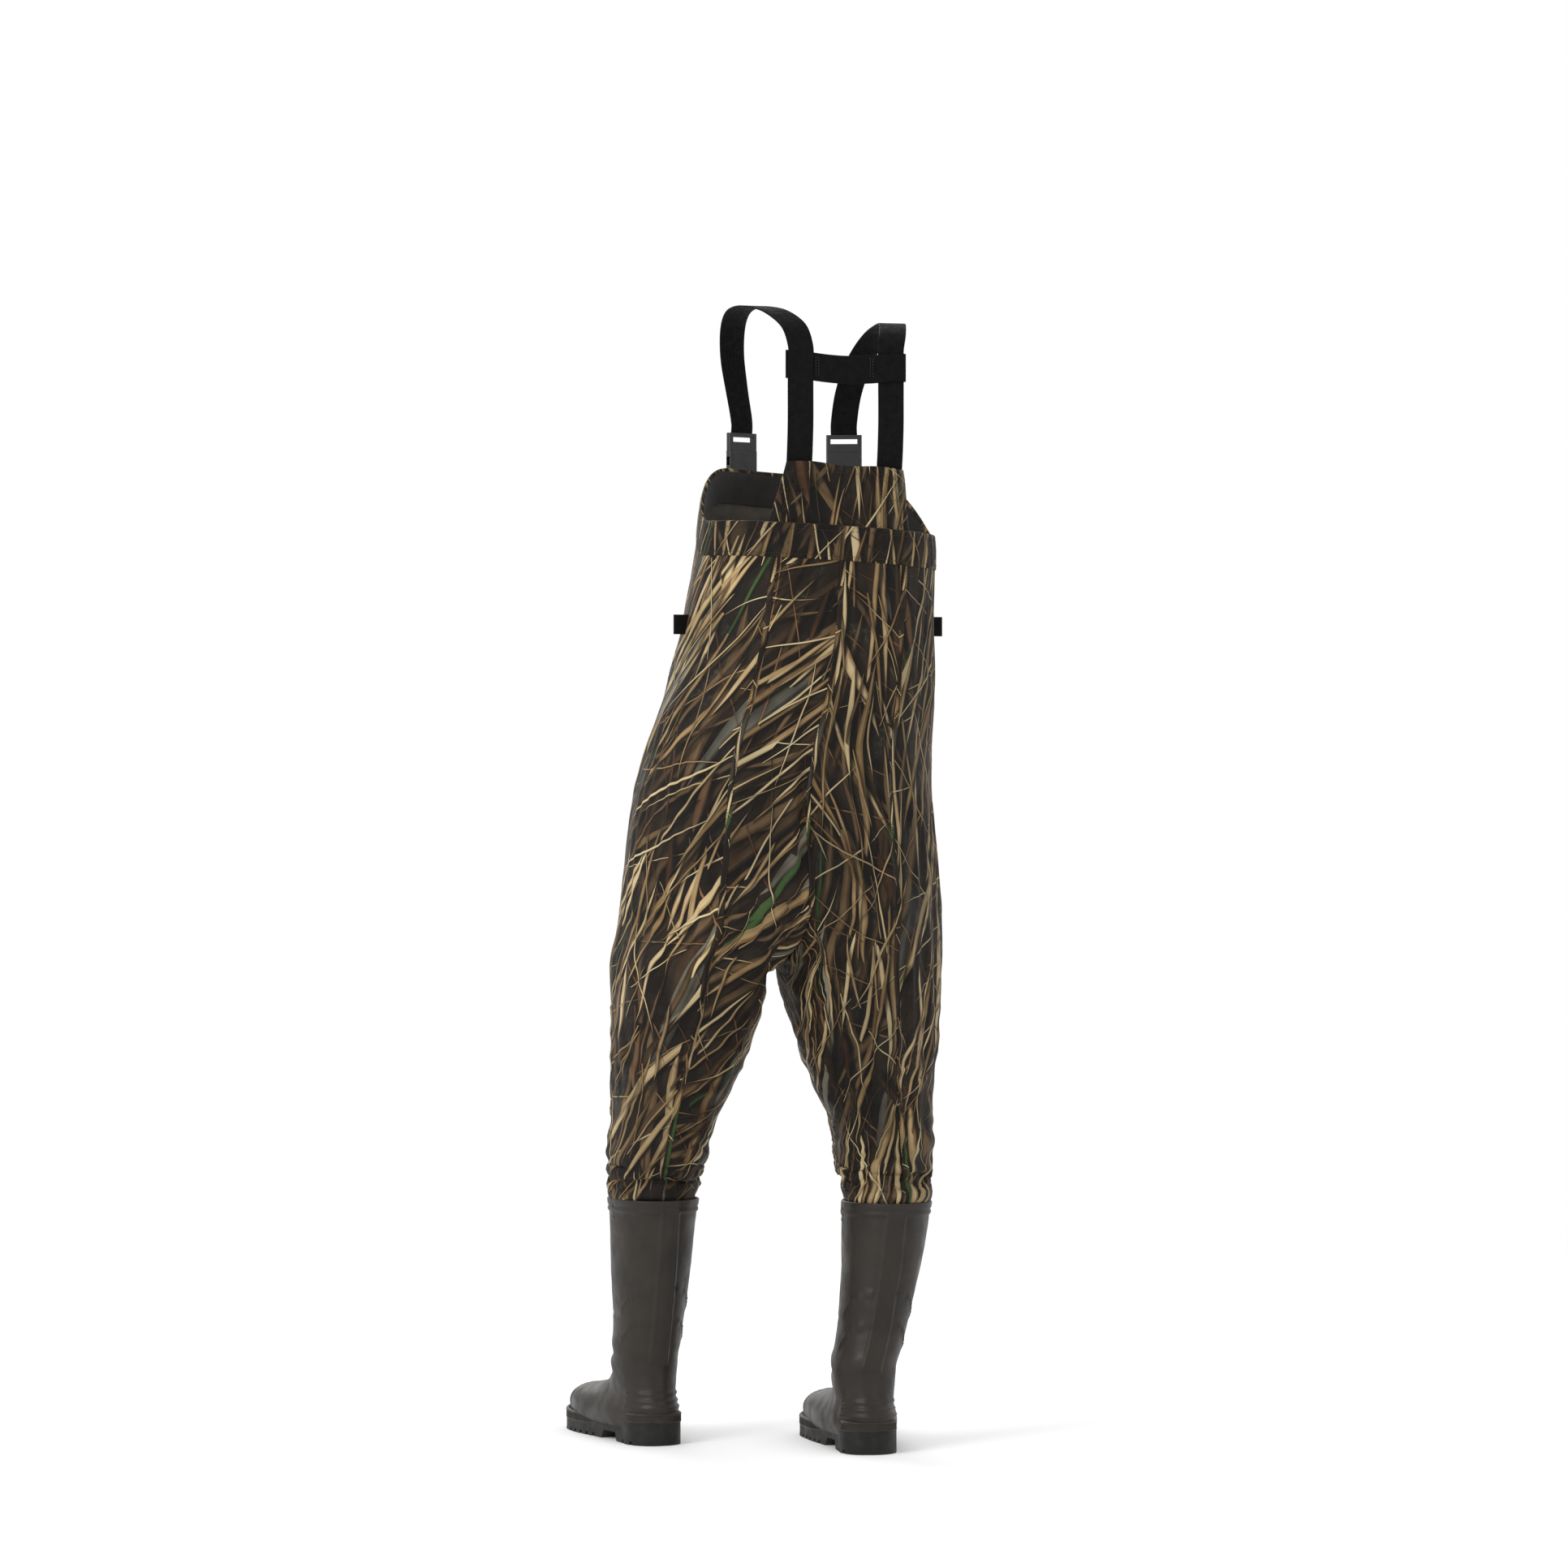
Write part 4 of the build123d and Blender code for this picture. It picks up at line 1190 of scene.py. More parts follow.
CAMO = camouflage()
WEBBING = webbing()
SHELL_LINING = plain_cloth("coated_shell_inside", rgb(58, 54, 48), rgb(78, 73, 65), 0.0011, 0.6)
DARK_LINING = plain_cloth("dark_knit_facing", rgb(22, 20, 18), rgb(38, 35, 31), 0.0016)
FELT = plain_cloth("grey_felt", rgb(66, 64, 61), rgb(92, 89, 85), 0.0020, 0.95)
HOOK_LOOP = plain_cloth("hook_and_loop_pile", rgb(14, 14, 14), rgb(34, 34, 33), 0.0013, 0.9)
BOOT_RUBBER = rubber("brown_black_boot_rubber", rgb(27, 22, 17), rgb(37, 31, 25), 0.44,
                     rgb(74, 65, 55))
SOLE_RUBBER = rubber("black_sole_rubber", rgb(11, 11, 9), rgb(20, 20, 17), 0.60, rgb(62, 58, 51))
PLASTIC = moulded_plastic()
STEEL = spring_steel()
THREAD = thread_material()
BLACK_THREAD = plain_cloth("black_thread", rgb(16, 16, 16), rgb(38, 38, 37), 0.0006, 0.7)


def dress(obj, *materials):
    """Gives an object its materials."""
    obj.data.materials.clear()
    for material in materials:
        obj.data.materials.append(material)
    return obj


def sew(name, lines, material=THREAD):
    """Rows of stitching in thread."""
    return dress(stitches(name, lines), material)


def facing(points, y):
    """A row of stitching on a piece that faces the back, with y 1, or the front, with y -1."""
    return points, [np.array([0, y, 0])] * len(points)


def closed_panel(name, verts, rows, columns, mirror, shift):
    """A panel of a front and a back sheet, each a grid of rows and columns, joined round the rim.

    mirror, 1 or -1, and shift lay the panel on the print.
    """
    size = rows * columns
    front = grid_faces(rows, columns, False)
    faces = front + [tuple(i + size for i in f[::-1]) for f in front]
    rim = ([c for c in range(columns)] + [r * columns + columns - 1 for r in range(1, rows)]
           + [(rows - 1) * columns + c for c in range(columns - 2, -1, -1)]
           + [r * columns for r in range(rows - 2, 0, -1)])
    for k, i in enumerate(rim):
        j = rim[(k + 1) % len(rim)]
        faces.append((j, i, i + size, j + size))
    uvs = [(verts[i][0] * mirror + shift[0], verts[i][2] + shift[1]) for f in faces for i in f]
    panel = mesh_object(name, verts, faces, uvs)
    fix_normals(panel)
    return dress(panel, CAMO)


garment, grid_ids = garment_mesh("garment")
rest_points = np.array([v.co for v in garment.data.vertices])
draped = drape(garment, grid_ids)
bpy.data.objects.remove(garment)

shells = {}
for side, sign in SIDES:
    patches = half_shell(side, sign, grid_ids, rest_points, draped)
    add_wrinkles(side, sign, patches)
    shells[side] = patches


def outer_grid(side):
    """Points of the outer patch of one half of the shell."""
    return shells[side]["outer"][1]


# The two halves meet exactly at the centre of the back and the front.
torso_rows = 2 * TORSO_ROWS - 1
for column in (0, -1):
    joined = (outer_grid("left")[:torso_rows, column] + outer_grid("right")[:torso_rows, column]) / 2
    for side in shells:
        outer_grid(side)[:torso_rows, column] = joined

for side, sign in SIDES:
    shell = shell_mesh(side, sign, shells[side])
    dress(shell, CAMO)
    thicken(shell, SHELL_THICKNESS, SHELL_LINING)
    gone = [side + part for part in ("_front_panel", "_back_panel", "_thigh", "_knee_fabric",
                                     "_shin_fabric")]
    on_leg(shell, side, *gone, *(["crotch_gusset"] if side == "left" else []))


def shell_line(side, sign, column, first, last):
    """A column of one half of the shell: its points, outward normals and across directions."""
    grid = outer_grid(side)
    normal = shell_normals(grid, sign)[first:last, column]
    points = grid[first:last, column]
    across = np.cross(tangents_of(points), normal)
    across /= np.linalg.norm(across, axis=1, keepdims=True)
    return points, normal, across


def seam_with_stitches(name, line):
    """A felled seam and its two rows of stitching."""
    points, normal, across = line
    seam = dress(felled_seam(name, points, normal, across), CAMO)
    rows = [(points + across * w + normal * SEAM_STITCH_LIFT, normal) for w in SEAM_STITCHES]
    return seam, sew(name + "_stitching", rows)


HEM_ROWS = 10            # rows of the shell that lie inside the hem band
CROTCH_ROW = torso_rows - 1
SEAM_STITCHES = (-0.0028, 0.0028)
SEAM_STITCH_LIFT = 0.00125
for name, column, tapes in (("centre_back_seam", 0, ["centre_seam_tape"]),
                            ("centre_front_seam", -1, [])):
    seam, thread = seam_with_stitches(name, shell_line("left", 1, column, HEM_ROWS, CROTCH_ROW))
    on_body(seam, "torso", FABRIC, *tapes)
    on_body(thread, "torso", FABRIC)
for side, sign in SIDES:
    line = shell_line(side, sign, SIDE_SEAM, HEM_ROWS, -4)
    seam, thread = seam_with_stitches(side + "_side_seam", line)
    on_leg(seam, side, side + "_seam_tape")
    on_leg(thread, side)


# ---------------------------------------------------------------------------------------------
# The hem: a folded band, puckered as if gathered by its elastic, and rows of stitching
# ---------------------------------------------------------------------------------------------

ring_points = np.concatenate([outer_grid("left")[:HEM_ROWS + 3, :-1],
                              outer_grid("right")[:HEM_ROWS + 3, :0:-1]], axis=1)
left_normals = shell_normals(outer_grid("left"), 1)[:HEM_ROWS + 3, :-1]
right_normals = shell_normals(outer_grid("right"), -1)[:HEM_ROWS + 3, :0:-1]
ring_normals = np.concatenate([left_normals, right_normals], axis=1)
ring_count = ring_points.shape[1]
level = np.linalg.norm(np.diff(ring_points, axis=0), axis=2).cumsum(axis=0)
depths = np.vstack([np.zeros(ring_count), level])


def hem_point(c, depth, out):
    """A point of the hem at column c, a depth below the top edge, standing out from the shell."""
    column = [float(np.interp(depth, depths[:, c], ring_points[:, c, k])) for k in range(3)]
    return np.array(column) + ring_normals[2, c] * out - np.array([0, 0, min(depth, 0.0)])


# The band's section, from its lining over the fold to its outer edge: depth and distance out.
HEM_PROFILE = [(HEM_DEPTH, -0.0036), (0.030, -0.0036), (0.014, -0.0036), (0.003, -0.0034),
               (-0.0006, -0.0020), (-0.0014, -0.0004), (-0.0004, 0.0012), (0.003, 0.0019),
               (0.0065, 0.0015), (0.010, 0.0019), (0.020, 0.0022), (0.030, 0.0022), (0.040, 0.0017),
               (0.0430, 0.0013), (0.0460, 0.0018), (HEM_DEPTH, 0.0006), (HEM_DEPTH, -0.0006)]
LINING_ROWS = 3          # rows of faces that show the dark facing
PUCKER_PITCH = 0.021
HEM_STITCHES = (0.0072, 0.0415)
ring_run = np.concatenate([[0], np.cumsum(np.linalg.norm(
    np.roll(ring_points[0], -1, axis=0) - ring_points[0], axis=1))])
verts, uvs = [], []
for depth, out in HEM_PROFILE:
    for c in range(ring_count):
        phase = 2 * noise.noise((c * 0.21, 0, 5))
        pucker = 0.0005 * math.sin(ring_run[c] * 2 * math.pi / PUCKER_PITCH + phase)
        between = 0.006 < depth < 0.042 and out > 0
        verts.append(hem_point(c, depth, out + (pucker if between else 0)))
for r in range(len(HEM_PROFILE) - 1):
    for c in range(ring_count):
        for row, column in ((r, c), (r, c + 1), (r + 1, c + 1), (r + 1, c)):
            depth, out = HEM_PROFILE[row]
            uvs.append((-ring_run[column] + 5.2, -depth + 0.7 + (0.1 if out < 0 else 0)))
hem = mesh_object("hem_band", verts, grid_faces(len(HEM_PROFILE), ring_count, True), uvs)
fix_normals(hem)
dress(hem, CAMO, DARK_LINING)
for polygon in hem.data.polygons:
    polygon.material_index = 1 if polygon.index < LINING_ROWS * ring_count else 0
on_body(hem, "torso", FABRIC, "hem_facing", "hem_elastic")
hem_lines = []
for depth in HEM_STITCHES:
    points = [hem_point(c, depth, 0.0023) for c in range(ring_count)]
    hem_lines.append((points + points[:1], list(ring_normals[2]) + [ring_normals[2, 0]]))
hem_thread = sew("hem_stitching", hem_lines)
on_body(hem_thread, "torso", FABRIC)


# ---------------------------------------------------------------------------------------------
# Knee patches
# ---------------------------------------------------------------------------------------------

PATCH_TOP, PATCH_LOW = 0.607, 0.453
PATCH_COLUMNS = np.arange(62, 109)
PATCH_MIDDLE = 80        # the column whose heights place the patch
PATCH_LIFT = np.array([0.0004, 0.0019, 0.0014, 0.0018])   # at the edge, and 1, 2, 3 points inside

for side, sign in SIDES:
    grid = outer_grid(side)
    normal = shell_normals(grid, sign)
    heights = grid[torso_rows:, PATCH_MIDDLE, 2]
    top_row, low_row = (torso_rows + int(np.argmin(abs(heights - z))) for z in (PATCH_TOP, PATCH_LOW))
    rows = np.arange(top_row, low_row + 1)
    columns = PATCH_COLUMNS
    patch = grid[np.ix_(rows, columns)]
    out = normal[np.ix_(rows, columns)]
    r_share = np.minimum(np.arange(len(rows)), np.arange(len(rows))[::-1])[:, None]
    c_share = np.minimum(np.arange(len(columns)), np.arange(len(columns))[::-1])[None, :]
    edge = np.minimum(r_share, c_share)
    points = patch + out * PATCH_LIFT[np.minimum(edge, 3)][:, :, None]
    verts = points.reshape(-1, 3)
    faces = grid_faces(len(rows), len(columns), False)
    if sign < 0:
        faces = [f[::-1] for f in faces]
    uvs = [(verts[i][0] * sign + 7.1, verts[i][2] + 2.3 * sign) for f in faces for i in f]
    pad = dress(mesh_object(side + "_knee_reinforcement", verts, faces, uvs), CAMO)
    on_leg(pad, side, side + "_knee_patch")
    loop = ([(2, c) for c in range(2, len(columns) - 2)]
            + [(r, len(columns) - 3) for r in range(3, len(rows) - 2)]
            + [(len(rows) - 3, c) for c in range(len(columns) - 4, 1, -1)]
            + [(r, 2) for r in range(len(rows) - 4, 1, -1)])
    line = ([points[p] + out[p] * 0.0003 for p in loop], [out[p] for p in loop])
    on_leg(sew(side + "_knee_stitching", [line]), side)


# ---------------------------------------------------------------------------------------------
# The back yoke, outside the ends of the suspenders
# ---------------------------------------------------------------------------------------------

YOKE_X, YOKE_TOP, YOKE_LOW = -0.050, 1.347, 1.238
YOKE_HALF_TOP, YOKE_HALF_LOW = 0.084, 0.108
YOKE_SIZE = (40, 56)
YOKE_MARGIN = 0.0105
YOKE_BOXES = (-0.115, 0.015)     # the crossed boxes that hold the suspenders
BOX_HALF, BOX_TOP, BOX_LOW = 0.016, 0.13, 0.40


def yoke_point(s, t, out=0.0):
    """A point of the yoke: s from -1 to 1 across it, t from 0 at the top to 1 at the bottom."""
    half = YOKE_HALF_TOP + (YOKE_HALF_LOW - YOKE_HALF_TOP) * t
    x = YOKE_X + s * half
    dip = 0.0016 * (1 - t) * math.cos(s * 5.2)
    z = YOKE_TOP + (YOKE_LOW - YOKE_TOP) * t + s * half * math.tan(HEM_TILT) * 1.1 - dip
    cx, a, b = station(TORSO, min(z, BACK_HEM))
    low_y = (b - 0.0052) * math.sqrt(max(0.0, 1 - ((x - cx) / (a - 0.0052)) ** 2))
    top_y = 0.1200 - 0.0045 * s * s
    share = float(smooth(YOKE_TOP + 0.01, 1.262, z))
    sag = 0.0016 * noise.noise((x * 22, 1.5, z * 26)) + 0.0011 * math.sin((x + z) * 60) * (1 - share)
    return np.array([x, top_y + (low_y - top_y) * share + sag * (1 - share * 0.8) + out, z]) + HIP


rows, columns = YOKE_SIZE
verts = []
for is_front, out in ((True, 0.0014), (False, -0.0012)):
    for r in range(rows):
        for c in range(columns):
            s, t = -1 + 2 * c / (columns - 1), r / (rows - 1)
            border = min(abs(abs(s) - 1) * YOKE_HALF_TOP, t * (YOKE_TOP - YOKE_LOW))
            folded = 0.0011 * float(smooth(0.0125, YOKE_MARGIN, border)) if is_front else 0
            rounding = -0.0012 * float(smooth(0.0016, 0.0, border)) if is_front else 0
            verts.append(yoke_point(s, t, out + folded + rounding))
on_body(closed_panel("yoke_panel", verts, rows, columns, -1, (9.4, 1.9)), "torso", FABRIC, "back_yoke")

top_edge = [(s, YOKE_MARGIN / (YOKE_TOP - YOKE_LOW)) for s in np.linspace(-0.87, 0.87, 30)]
side_edges = [[(hand * (1 - YOKE_MARGIN / YOKE_HALF_TOP), t) for t in np.linspace(0.09, 0.80, 24)]
              for hand in (-1, 1)]
boxes = []
for centre in YOKE_BOXES:
    s0 = (centre - YOKE_X) / YOKE_HALF_TOP
    w = BOX_HALF / YOKE_HALF_TOP
    corners = [(s0 - w, BOX_TOP), (s0 + w, BOX_TOP), (s0 + w, BOX_LOW), (s0 - w, BOX_LOW)]
    for a, b in ((0, 1), (1, 2), (2, 3), (3, 0), (0, 2), (1, 3)):
        (s1, t1), (s2, t2) = corners[a], corners[b]
        boxes.append([(s1 + (s2 - s1) * k / 8, t1 + (t2 - t1) * k / 8) for k in range(9)])
yoke_lines = [facing([yoke_point(s, t, 0.0027) for s, t in path], 1.0)
              for path in [top_edge] + side_edges + boxes]
on_body(sew("yoke_stitching", yoke_lines), "torso", FABRIC)


# ---------------------------------------------------------------------------------------------
# Suspenders and cross strap
# ---------------------------------------------------------------------------------------------

STRAP_WIDTH, STRAP_THICKNESS = 0.037, 0.0021
CROSS_WIDTH = 0.0385
# Routes of the suspenders from the back over the shoulders to the buckles, in millimetres.
SHOULDERS = {
    "left": [(15, 119, 1508), (22, 109, 1536), (38, 80, 1557), (53, 43, 1566), (60, 8, 1567),
             (60, -28, 1560), (55, -62, 1540), (46, -91, 1506), (34, -110, 1465), (24, -118, 1420)],
    "right": [(-115, 119, 1508), (-121, 108, 1527), (-131, 80, 1541), (-142, 44, 1547),
              (-147, 9, 1547), (-147, -28, 1540), (-142, -62, 1521), (-135, -90, 1492),
              (-129, -107, 1457), (-126, -115, 1420)],
}
# The part below them on the back, up from under the yoke: y and z.
BACK_FOOT = [(107, 1312), (111.5, 1338), (116, 1368), (119, 1405), (119, 1450), (119, 1485)]
STRAP_LOW_END = 1401
BUCKLE_TURN = 23         # degrees, how far the webbing turns to lie flat behind its clip

for side, sign in SIDES:
    route = SHOULDERS[side]
    x0 = route[0][0]
    end_x, end_y, _ = route[-1]
    path = [(x0, y, z) for y, z in BACK_FOOT] + route + [(end_x, end_y, STRAP_LOW_END)]
    points = smooth_route(np.array(path) / 1000) + HIP
    share = np.linspace(0, 1, len(points))
    turns = BUCKLE_TURN * sign * smooth(0.50, 0.95, share)
    turns = turns + 3.0 * sign * np.sin(share * 5) * smooth(0.2, 0.4, share)
    strap = sweep(side + "_webbing_strap", points, *strap_frames(points, turns),
                  web_profile(STRAP_WIDTH, STRAP_THICKNESS), uv_shift=(0.3 * sign, 0.11))
    dress(strap, WEBBING)
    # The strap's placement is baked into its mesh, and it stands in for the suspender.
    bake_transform(strap)
    place_piece(strap, "black_webbing", side + "_suspender")

# The cross strap starts in front of the left suspender, goes between the two and wraps the right
# one in a sleeve.
cross_low, cross_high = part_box("cross_strap")
cross_z = (cross_low[2] + cross_high[2]) / 2
left_x, right_x = (SHOULDERS[side][0][0] / 1000 + HIP[0] for side in ("left", "right"))
back_y = SHOULDERS["left"][0][1] / 1000 + HIP[1]
half_strap = STRAP_WIDTH / 2 + 0.0012
gap_y = STRAP_THICKNESS / 2 + 0.0019
path = [(left_x + half_strap + 0.0005, back_y - gap_y - 0.0003), (left_x, back_y - gap_y - 0.0004),
        (left_x - 0.020, back_y - gap_y + 0.0006), (left_x - 0.040, back_y - 0.0006),
        (left_x - 0.065, back_y + 0.0002), (right_x + 0.040, back_y + 0.0006),
        (right_x + half_strap + 0.002, back_y + gap_y - 0.0010),
        (right_x + half_strap - 0.002, back_y + gap_y),
        (right_x, back_y + gap_y + 0.0002), (right_x - half_strap + 0.002, back_y + gap_y),
        (right_x - half_strap - 0.0006, back_y + 0.0016),
        (right_x - half_strap - 0.0006, back_y - 0.0016),
        (right_x - half_strap + 0.002, back_y - gap_y), (right_x, back_y - gap_y),
        (right_x + half_strap - 0.001, back_y - gap_y),
        (right_x + half_strap + 0.010, back_y - gap_y + 0.0008)]
route = smooth_route([(x, y, cross_z) for x, y in path], 0.0022)
span = np.clip((left_x - route[:, 0]) / (left_x - right_x), 0, 1)
route[:, 2] = cross_z - 0.0055 * np.sin(np.pi * span) - 0.002 * span
cross = sweep("cross_back_webbing", route, *upright_frames(route),
              web_profile(CROSS_WIDTH, STRAP_THICKNESS * 0.8), uv_shift=(0.9, 0.4))
on_body(dress(cross, WEBBING), "cross_strap", "black_webbing", "cross_strap")
# Stitching that closes the sleeve, and two rows beside the left suspender.
cross_rows = []
for x, y in ((right_x + half_strap + 0.0075, back_y + gap_y - 0.0003),
             (left_x - half_strap - 0.006, back_y - 0.0005)):
    for shift in (0, 0.004):
        heights = cross_z - 0.0016 + np.linspace(-0.0165, 0.0165, 12)
        cross_rows.append(facing([(x + shift, y + 0.0012, z) for z in heights], 1.0))
on_body(sew("cross_strap_stitching", cross_rows, BLACK_THREAD), "cross_strap", "black_webbing")


# ---------------------------------------------------------------------------------------------
# Side tabs, chest pocket and flap
# ---------------------------------------------------------------------------------------------

for side, sign in SIDES:
    low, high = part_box(side + "_side_tab")
    low, high = np.array(low), np.array(high)
    inner_x, outer_x = (low[0], high[0]) if sign > 0 else (high[0], low[0])
    y, z = (low[1] + high[1]) / 2, (low[2] + high[2]) / 2
    thickness = (high[1] - low[1]) / 2 * 0.5
    reach = sign * 0.0012
    # Out along the back, round the fold and back along the front.
    path = [(inner_x - sign * 0.006, y + thickness, z), (inner_x + sign * 0.004, y + thickness, z),
            (outer_x - reach * 3, y + thickness * 1.1, z), (outer_x - reach, y + thickness * 0.7, z),
            (outer_x - reach * 0.3, y, z), (outer_x - reach, y - thickness * 0.7, z),
            (outer_x - reach * 3, y - thickness * 1.1, z), (inner_x + sign * 0.004, y - thickness, z),
            (inner_x - sign * 0.006, y - thickness, z)]
    route = smooth_route(path, 0.0012)
    tab = sweep(side + "_gear_tab", route, *upright_frames(route),
                web_profile(high[2] - low[2], 0.0014))
    on_body(dress(tab, WEBBING), "torso", "black_webbing", side + "_side_tab")

POCKET_X = (-0.134, 0.046)
POCKET_Z = (1.118, 1.282)
POCKET_SIZE = (61, 66)
MOUTH_Z, MOUTH_REACH = (1.236, 1.260), 0.83


def torso_front(x, z):
    """Where the front of the torso lies at x and z."""
    cx, a, b = station(TORSO, z)
    return -b * math.sqrt(max(0.0, 1 - ((x - cx) / a) ** 2))


def pocket_point(s, t):
    """Outer face of the bellows pocket: s across from -1 to 1, t from 0 at the top to 1 below."""
    middle, half = sum(POCKET_X) / 2, (POCKET_X[1] - POCKET_X[0]) / 2
    x = middle + s * half
    z = POCKET_Z[1] + (POCKET_Z[0] - POCKET_Z[1]) * t
    side_fill = float(smooth(1.0, 0.90, abs(s)))
    end_fill = float(smooth(0.0, 0.05, t)) * float(smooth(1.0, 0.93, t))
    fill = side_fill * end_fill
    body = 0.0095 * fill + 0.0030 * fill * math.sin(math.pi * min(1, t * 0.9)) * math.cos(s * 1.4)
    lump = 0.0011 * noise.noise((x * 30, z * 26, 4)) * fill
    y = torso_front(x, z) - 0.0022 - body - lump
    return np.array([x, y, z]) + HIP


rows, columns = POCKET_SIZE
verts = [pocket_point(-1 + 2 * c / (columns - 1), r / (rows - 1))
         for r in range(rows) for c in range(columns)]
# The mouth is an opening near the top, under the flap.
faces = []
for k, f in enumerate(grid_faces(rows, columns, False)):
    r, c = divmod(k, columns - 1)
    z = POCKET_Z[1] + (POCKET_Z[0] - POCKET_Z[1]) * (r + 0.5) / (rows - 1)
    s = -1 + 2 * (c + 0.5) / (columns - 1)
    if not (MOUTH_Z[0] < z < MOUTH_Z[1] and abs(s) < MOUTH_REACH):
        faces.append(f)
uvs = [(verts[i][0] + 11.2, verts[i][2] + 2.6) for f in faces for i in f]
pocket = mesh_object("bellows_pocket", verts, faces, uvs)
fix_normals(pocket)
if np.mean([p.normal.y for p in pocket.data.polygons]) > 0:
    pocket.data.flip_normals()
dress(pocket, CAMO)
thicken(pocket, 0.0014, DARK_LINING)
on_body(pocket, "torso", FABRIC, "chest_pocket")

outline = ([(-0.86, t) for t in np.linspace(0.08, 0.90, 30)]
           + [(s, 0.90) for s in np.linspace(-0.84, 0.84, 40)]
           + [(0.86, t) for t in np.linspace(0.90, 0.08, 30)])
outline = [pocket_point(s, t) + np.array([0, -0.0004, 0]) for s, t in outline]
on_body(sew("pocket_stitching", [facing(outline, -1.0)]), "torso", FABRIC)

flap_low, flap_high = (np.array(v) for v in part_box("pocket_flap"))
flap_middle = (flap_low + flap_high) / 2
flap_half = (flap_high - flap_low) / 2
FLAP_SIZE = (24, 64)


def flap_point(s, t, out):
    """The flap: s across from -1 to 1, t from 0 at its hinge to 1 at its free edge."""
    x = flap_middle[0] + s * flap_half[0]
    corner = 0.010 * max(0.0, (abs(s) - 0.90) / 0.10) ** 2 * t
    z = flap_high[2] - t * (flap_high[2] - flap_low[2]) + corner
    wave = 0.0008 * math.sin(s * 5 + 1) * t
    return np.array([x, flap_middle[1] + wave - out, z])


rows, columns = FLAP_SIZE
verts = []
for is_front, out in ((True, 0.0010), (False, -0.0010)):
    for r in range(rows):
        for c in range(columns):
            s, t = -1 + 2 * c / (columns - 1), r / (rows - 1)
            border = min((1 - abs(s)) * flap_half[0], (1 - t) * 2 * flap_half[2])
            edge = 0.0005 * bell(border - 0.003, 0.003) if is_front else 0
            rounding = 0.0007 * float(smooth(0.0014, 0, border)) if is_front else 0
            verts.append(flap_point(s, t, out + edge - rounding))
flap = closed_panel("soft_pocket_flap", verts, rows, columns, 1, (13.7, 0.4))
on_body(flap, "pocket_flap", FABRIC, "pocket_flap")
flap_path = ([(-0.93, t) for t in np.linspace(0.06, 0.86, 20)]
             + [(s, 0.87) for s in np.linspace(-0.92, 0.92, 40)]
             + [(0.93, t) for t in np.linspace(0.86, 0.06, 20)])
flap_line = facing([flap_point(s, t, 0.0013) for s, t in flap_path], -1.0)
on_body(sew("flap_stitching", [flap_line]), "pocket_flap", FABRIC)


def tape_strip(name, node, body, slot_name, material):
    """A flat sewn strip with rounded selvedges that takes up the node's box."""
    low, high = (np.array(v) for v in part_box(node))
    middle, reach = (low + high) / 2, high - low
    points = smooth_route([(x, middle[1], middle[2]) for x in (low[0], middle[0], high[0])], 0.003)
    across = np.tile(UP, (len(points), 1))
    out = np.tile(np.array([0, -1.0, 0]), (len(points), 1))
    strip = sweep(name, points, across, out, web_profile(reach[2], max(reach[1], 0.0010)))
    on_body(dress(strip, material), body, slot_name, node)


tape_strip("flap_top_binding", "flap_binding", "torso", FABRIC, CAMO)
tape_strip("sewn_loop_tape", "pocket_loop_tape", "torso", "hook_and_loop", HOOK_LOOP)
tape_strip("sewn_hook_tape", "flap_hook_tape", "pocket_flap", "hook_and_loop", HOOK_LOOP)


# ---------------------------------------------------------------------------------------------
# Room for the buckle anchors
# ---------------------------------------------------------------------------------------------

def surface_tree(obj):
    """A search tree of an object's faces."""
    return BVHTree.FromPolygons([v.co.copy() for v in obj.data.vertices],
                                [p.vertices[:] for p in obj.data.polygons])


PRESS_FADE_X, PRESS_FADE_Z = 0.010, 0.012
PRESS_GAP, PRESS_MOST = 0.0008, 0.008
CLOTH_DEPTH = 0.012      # what lies this near behind the front moves with it


def first_hit(tree, x, z, start_y, direction_y):
    """The y of the first face met along Y, or None."""
    hit = tree.ray_cast((x, start_y, z), (0, direction_y, 0))[0]
    return None if hit is None else hit.y


def press_back(cloths, anchor):
    """Presses the front of the cloth back behind a buckle's anchor, so that the webbing lies on it."""
    strap = surface_tree(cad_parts[anchor])
    low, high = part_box(anchor)
    fronts = [surface_tree(cloth) for cloth in cloths]
    for cloth in cloths:
        for vertex in cloth.data.vertices:
            x, y, z = vertex.co
            beside = low[0] - PRESS_FADE_X < x < high[0] + PRESS_FADE_X
            if not (beside and low[2] - PRESS_FADE_Z < z < high[2] and y <= high[1] + 0.02):
                continue
            near_x = min(max(x, low[0] + 0.0015), high[0] - 0.0015)
            near_z = min(max(z, low[2] + 0.0010), high[2] - 0.0010)
            back = first_hit(strap, near_x, near_z, high[1] + 0.05, -1)
            own = [first_hit(tree, near_x, near_z, low[1] - 0.1, 1) for tree in fronts]
            own = [hit for hit in own if hit is not None]
            if back is None or not own or y > min(own) + CLOTH_DEPTH:
                continue
            push = max(0.0, back + PRESS_GAP - min(own))
            fade = float(smooth(PRESS_FADE_X, 0, abs(x - near_x))
                         * smooth(PRESS_FADE_Z, 0, abs(z - near_z)))
            vertex.co.y += min(push, PRESS_MOST) * fade


for side in ("left", "right"):
    press_back([hem] + [bpy.data.objects[name + "_shell"] for name in ("left", "right")] + [hem_thread],
               side + "_buckle_anchor")


# ---------------------------------------------------------------------------------------------
# Boots and what is carried over from the frame
# ---------------------------------------------------------------------------------------------

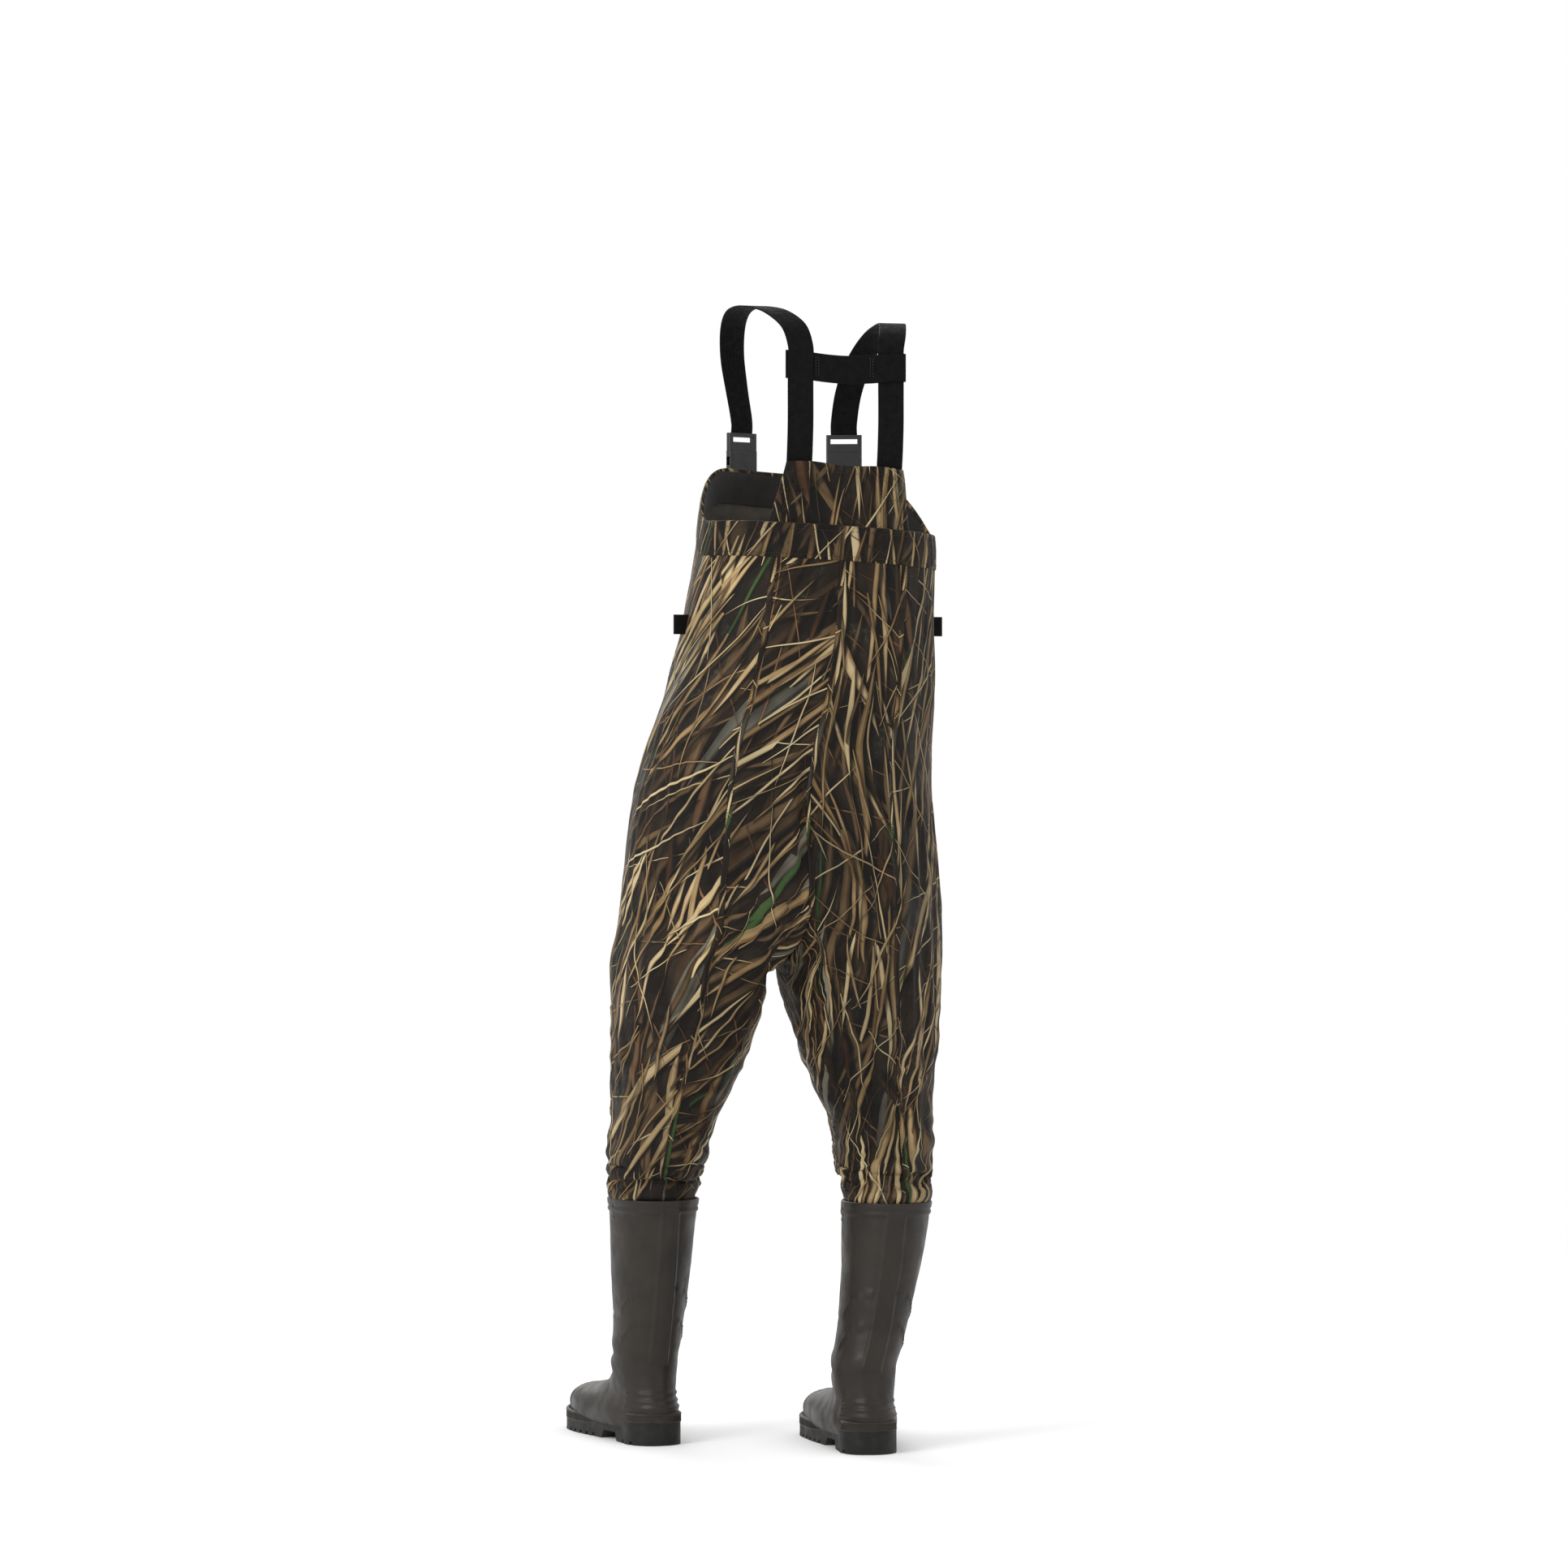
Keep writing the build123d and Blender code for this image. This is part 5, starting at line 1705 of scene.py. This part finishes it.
for side in ("left", "right"):
    parts = [side + part for part in ("_boot_upper", "_boot_cuff", "_back_stay", "_toe_cap")]
    on_body(dress(boot_mesh(side), BOOT_RUBBER), side + "_lower_leg", "boot_rubber", *parts)
    foxing = dress(rand_mesh(side), BOOT_RUBBER)
    on_body(foxing, side + "_lower_leg", "sole_rubber", side + "_rand")

CARRIED = {
    "outsole": SOLE_RUBBER, "shank": STEEL, "insole": FELT, "boot_lining": FELT,
    "buckle_socket": PLASTIC, "buckle_clip": PLASTIC, "buckle_anchor": WEBBING,
}
for node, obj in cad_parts.items():
    for ending, material in CARRIED.items():
        if node.endswith(ending):
            dress(obj, material)


# ---------------------------------------------------------------------------------------------
# Floor, light and camera
# ---------------------------------------------------------------------------------------------

FLOOR = 14               # half its width
scene = bpy.context.scene
corners = [(-FLOOR, -FLOOR, 0), (FLOOR, -FLOOR, 0), (FLOOR, FLOOR, 0), (-FLOOR, FLOOR, 0)]
floor = mesh_object("floor", corners, [(0, 1, 2, 3)])
floor_material, floor_graph, floor_shader = new_material("pale_floor", 0.9, 0.2)
floor_shader.inputs["Base Color"].default_value = (0.90, 0.90, 0.90, 1)
# Away from the object the floor turns into the same white as the studio behind it.
away = floor_graph.vector("LENGTH", object_place(floor_graph), output=1)
glow = floor_graph.node("ShaderNodeEmission", {"Color": (1, 1, 1, 1)})
joined = floor_graph.node("ShaderNodeMixShader", {0: floor_graph.ramp(away, 1.0, 4.0),
                                                  1: floor_shader.outputs[0], 2: glow})
floor_graph.put(floor_material.node_tree.nodes["Material Output"].inputs[0], joined)
dress(floor, floor_material)

world = bpy.data.worlds.new("studio")
scene.world = world
world.use_nodes = True
world.node_tree.nodes["Background"].inputs[0].default_value = (1, 1, 1, 1)
world.node_tree.nodes["Background"].inputs[1].default_value = 1.0

toward_camera = np.array([math.sin(PHOTO_AZIMUTH), -math.cos(PHOTO_AZIMUTH), 0.0])
image_left = np.array([0.951, -0.309, 0.0])
target = HIP + np.array([0, 0, 0.80])


def softbox(name, place, size, power):
    """A rectangular light that faces the middle of the object."""
    data = bpy.data.lights.new(name, "AREA")
    data.shape = "RECTANGLE"
    data.size, data.size_y = size
    data.energy = power
    light = link(bpy.data.objects.new(name, data))
    light.location = Vector(place)
    light.rotation_euler = (Vector(target) - light.location).to_track_quat("-Z", "Y").to_euler()


softbox("key", target + toward_camera * 2.6 + image_left * 2.4 + np.array([0, 0, 1.7]), (1.6, 2.0), 70)
softbox("fill", target + toward_camera * 3.0 - image_left * 2.6 + np.array([0, 0, 0.6]), (1.8, 2.2), 8)
softbox("back", target - toward_camera * 2.8 + image_left * 1.2 + np.array([0, 0, 1.6]), (1.8, 2.0), 35)

camera_data = bpy.data.cameras.new("camera")
camera = link(bpy.data.objects.new("camera", camera_data))
camera_data.sensor_width = 36
camera_data.lens = 36 * CAMERA_DISTANCE / FRAME_WIDTH
camera_data.clip_end = 60
camera.location = Vector(HIP + toward_camera * CAMERA_DISTANCE + np.array([0, 0, EYE_HEIGHT]))
camera.rotation_euler = Vector(-toward_camera).to_track_quat("-Z", "Y").to_euler()
scene.camera = camera
scene.view_settings.view_transform = "Standard"
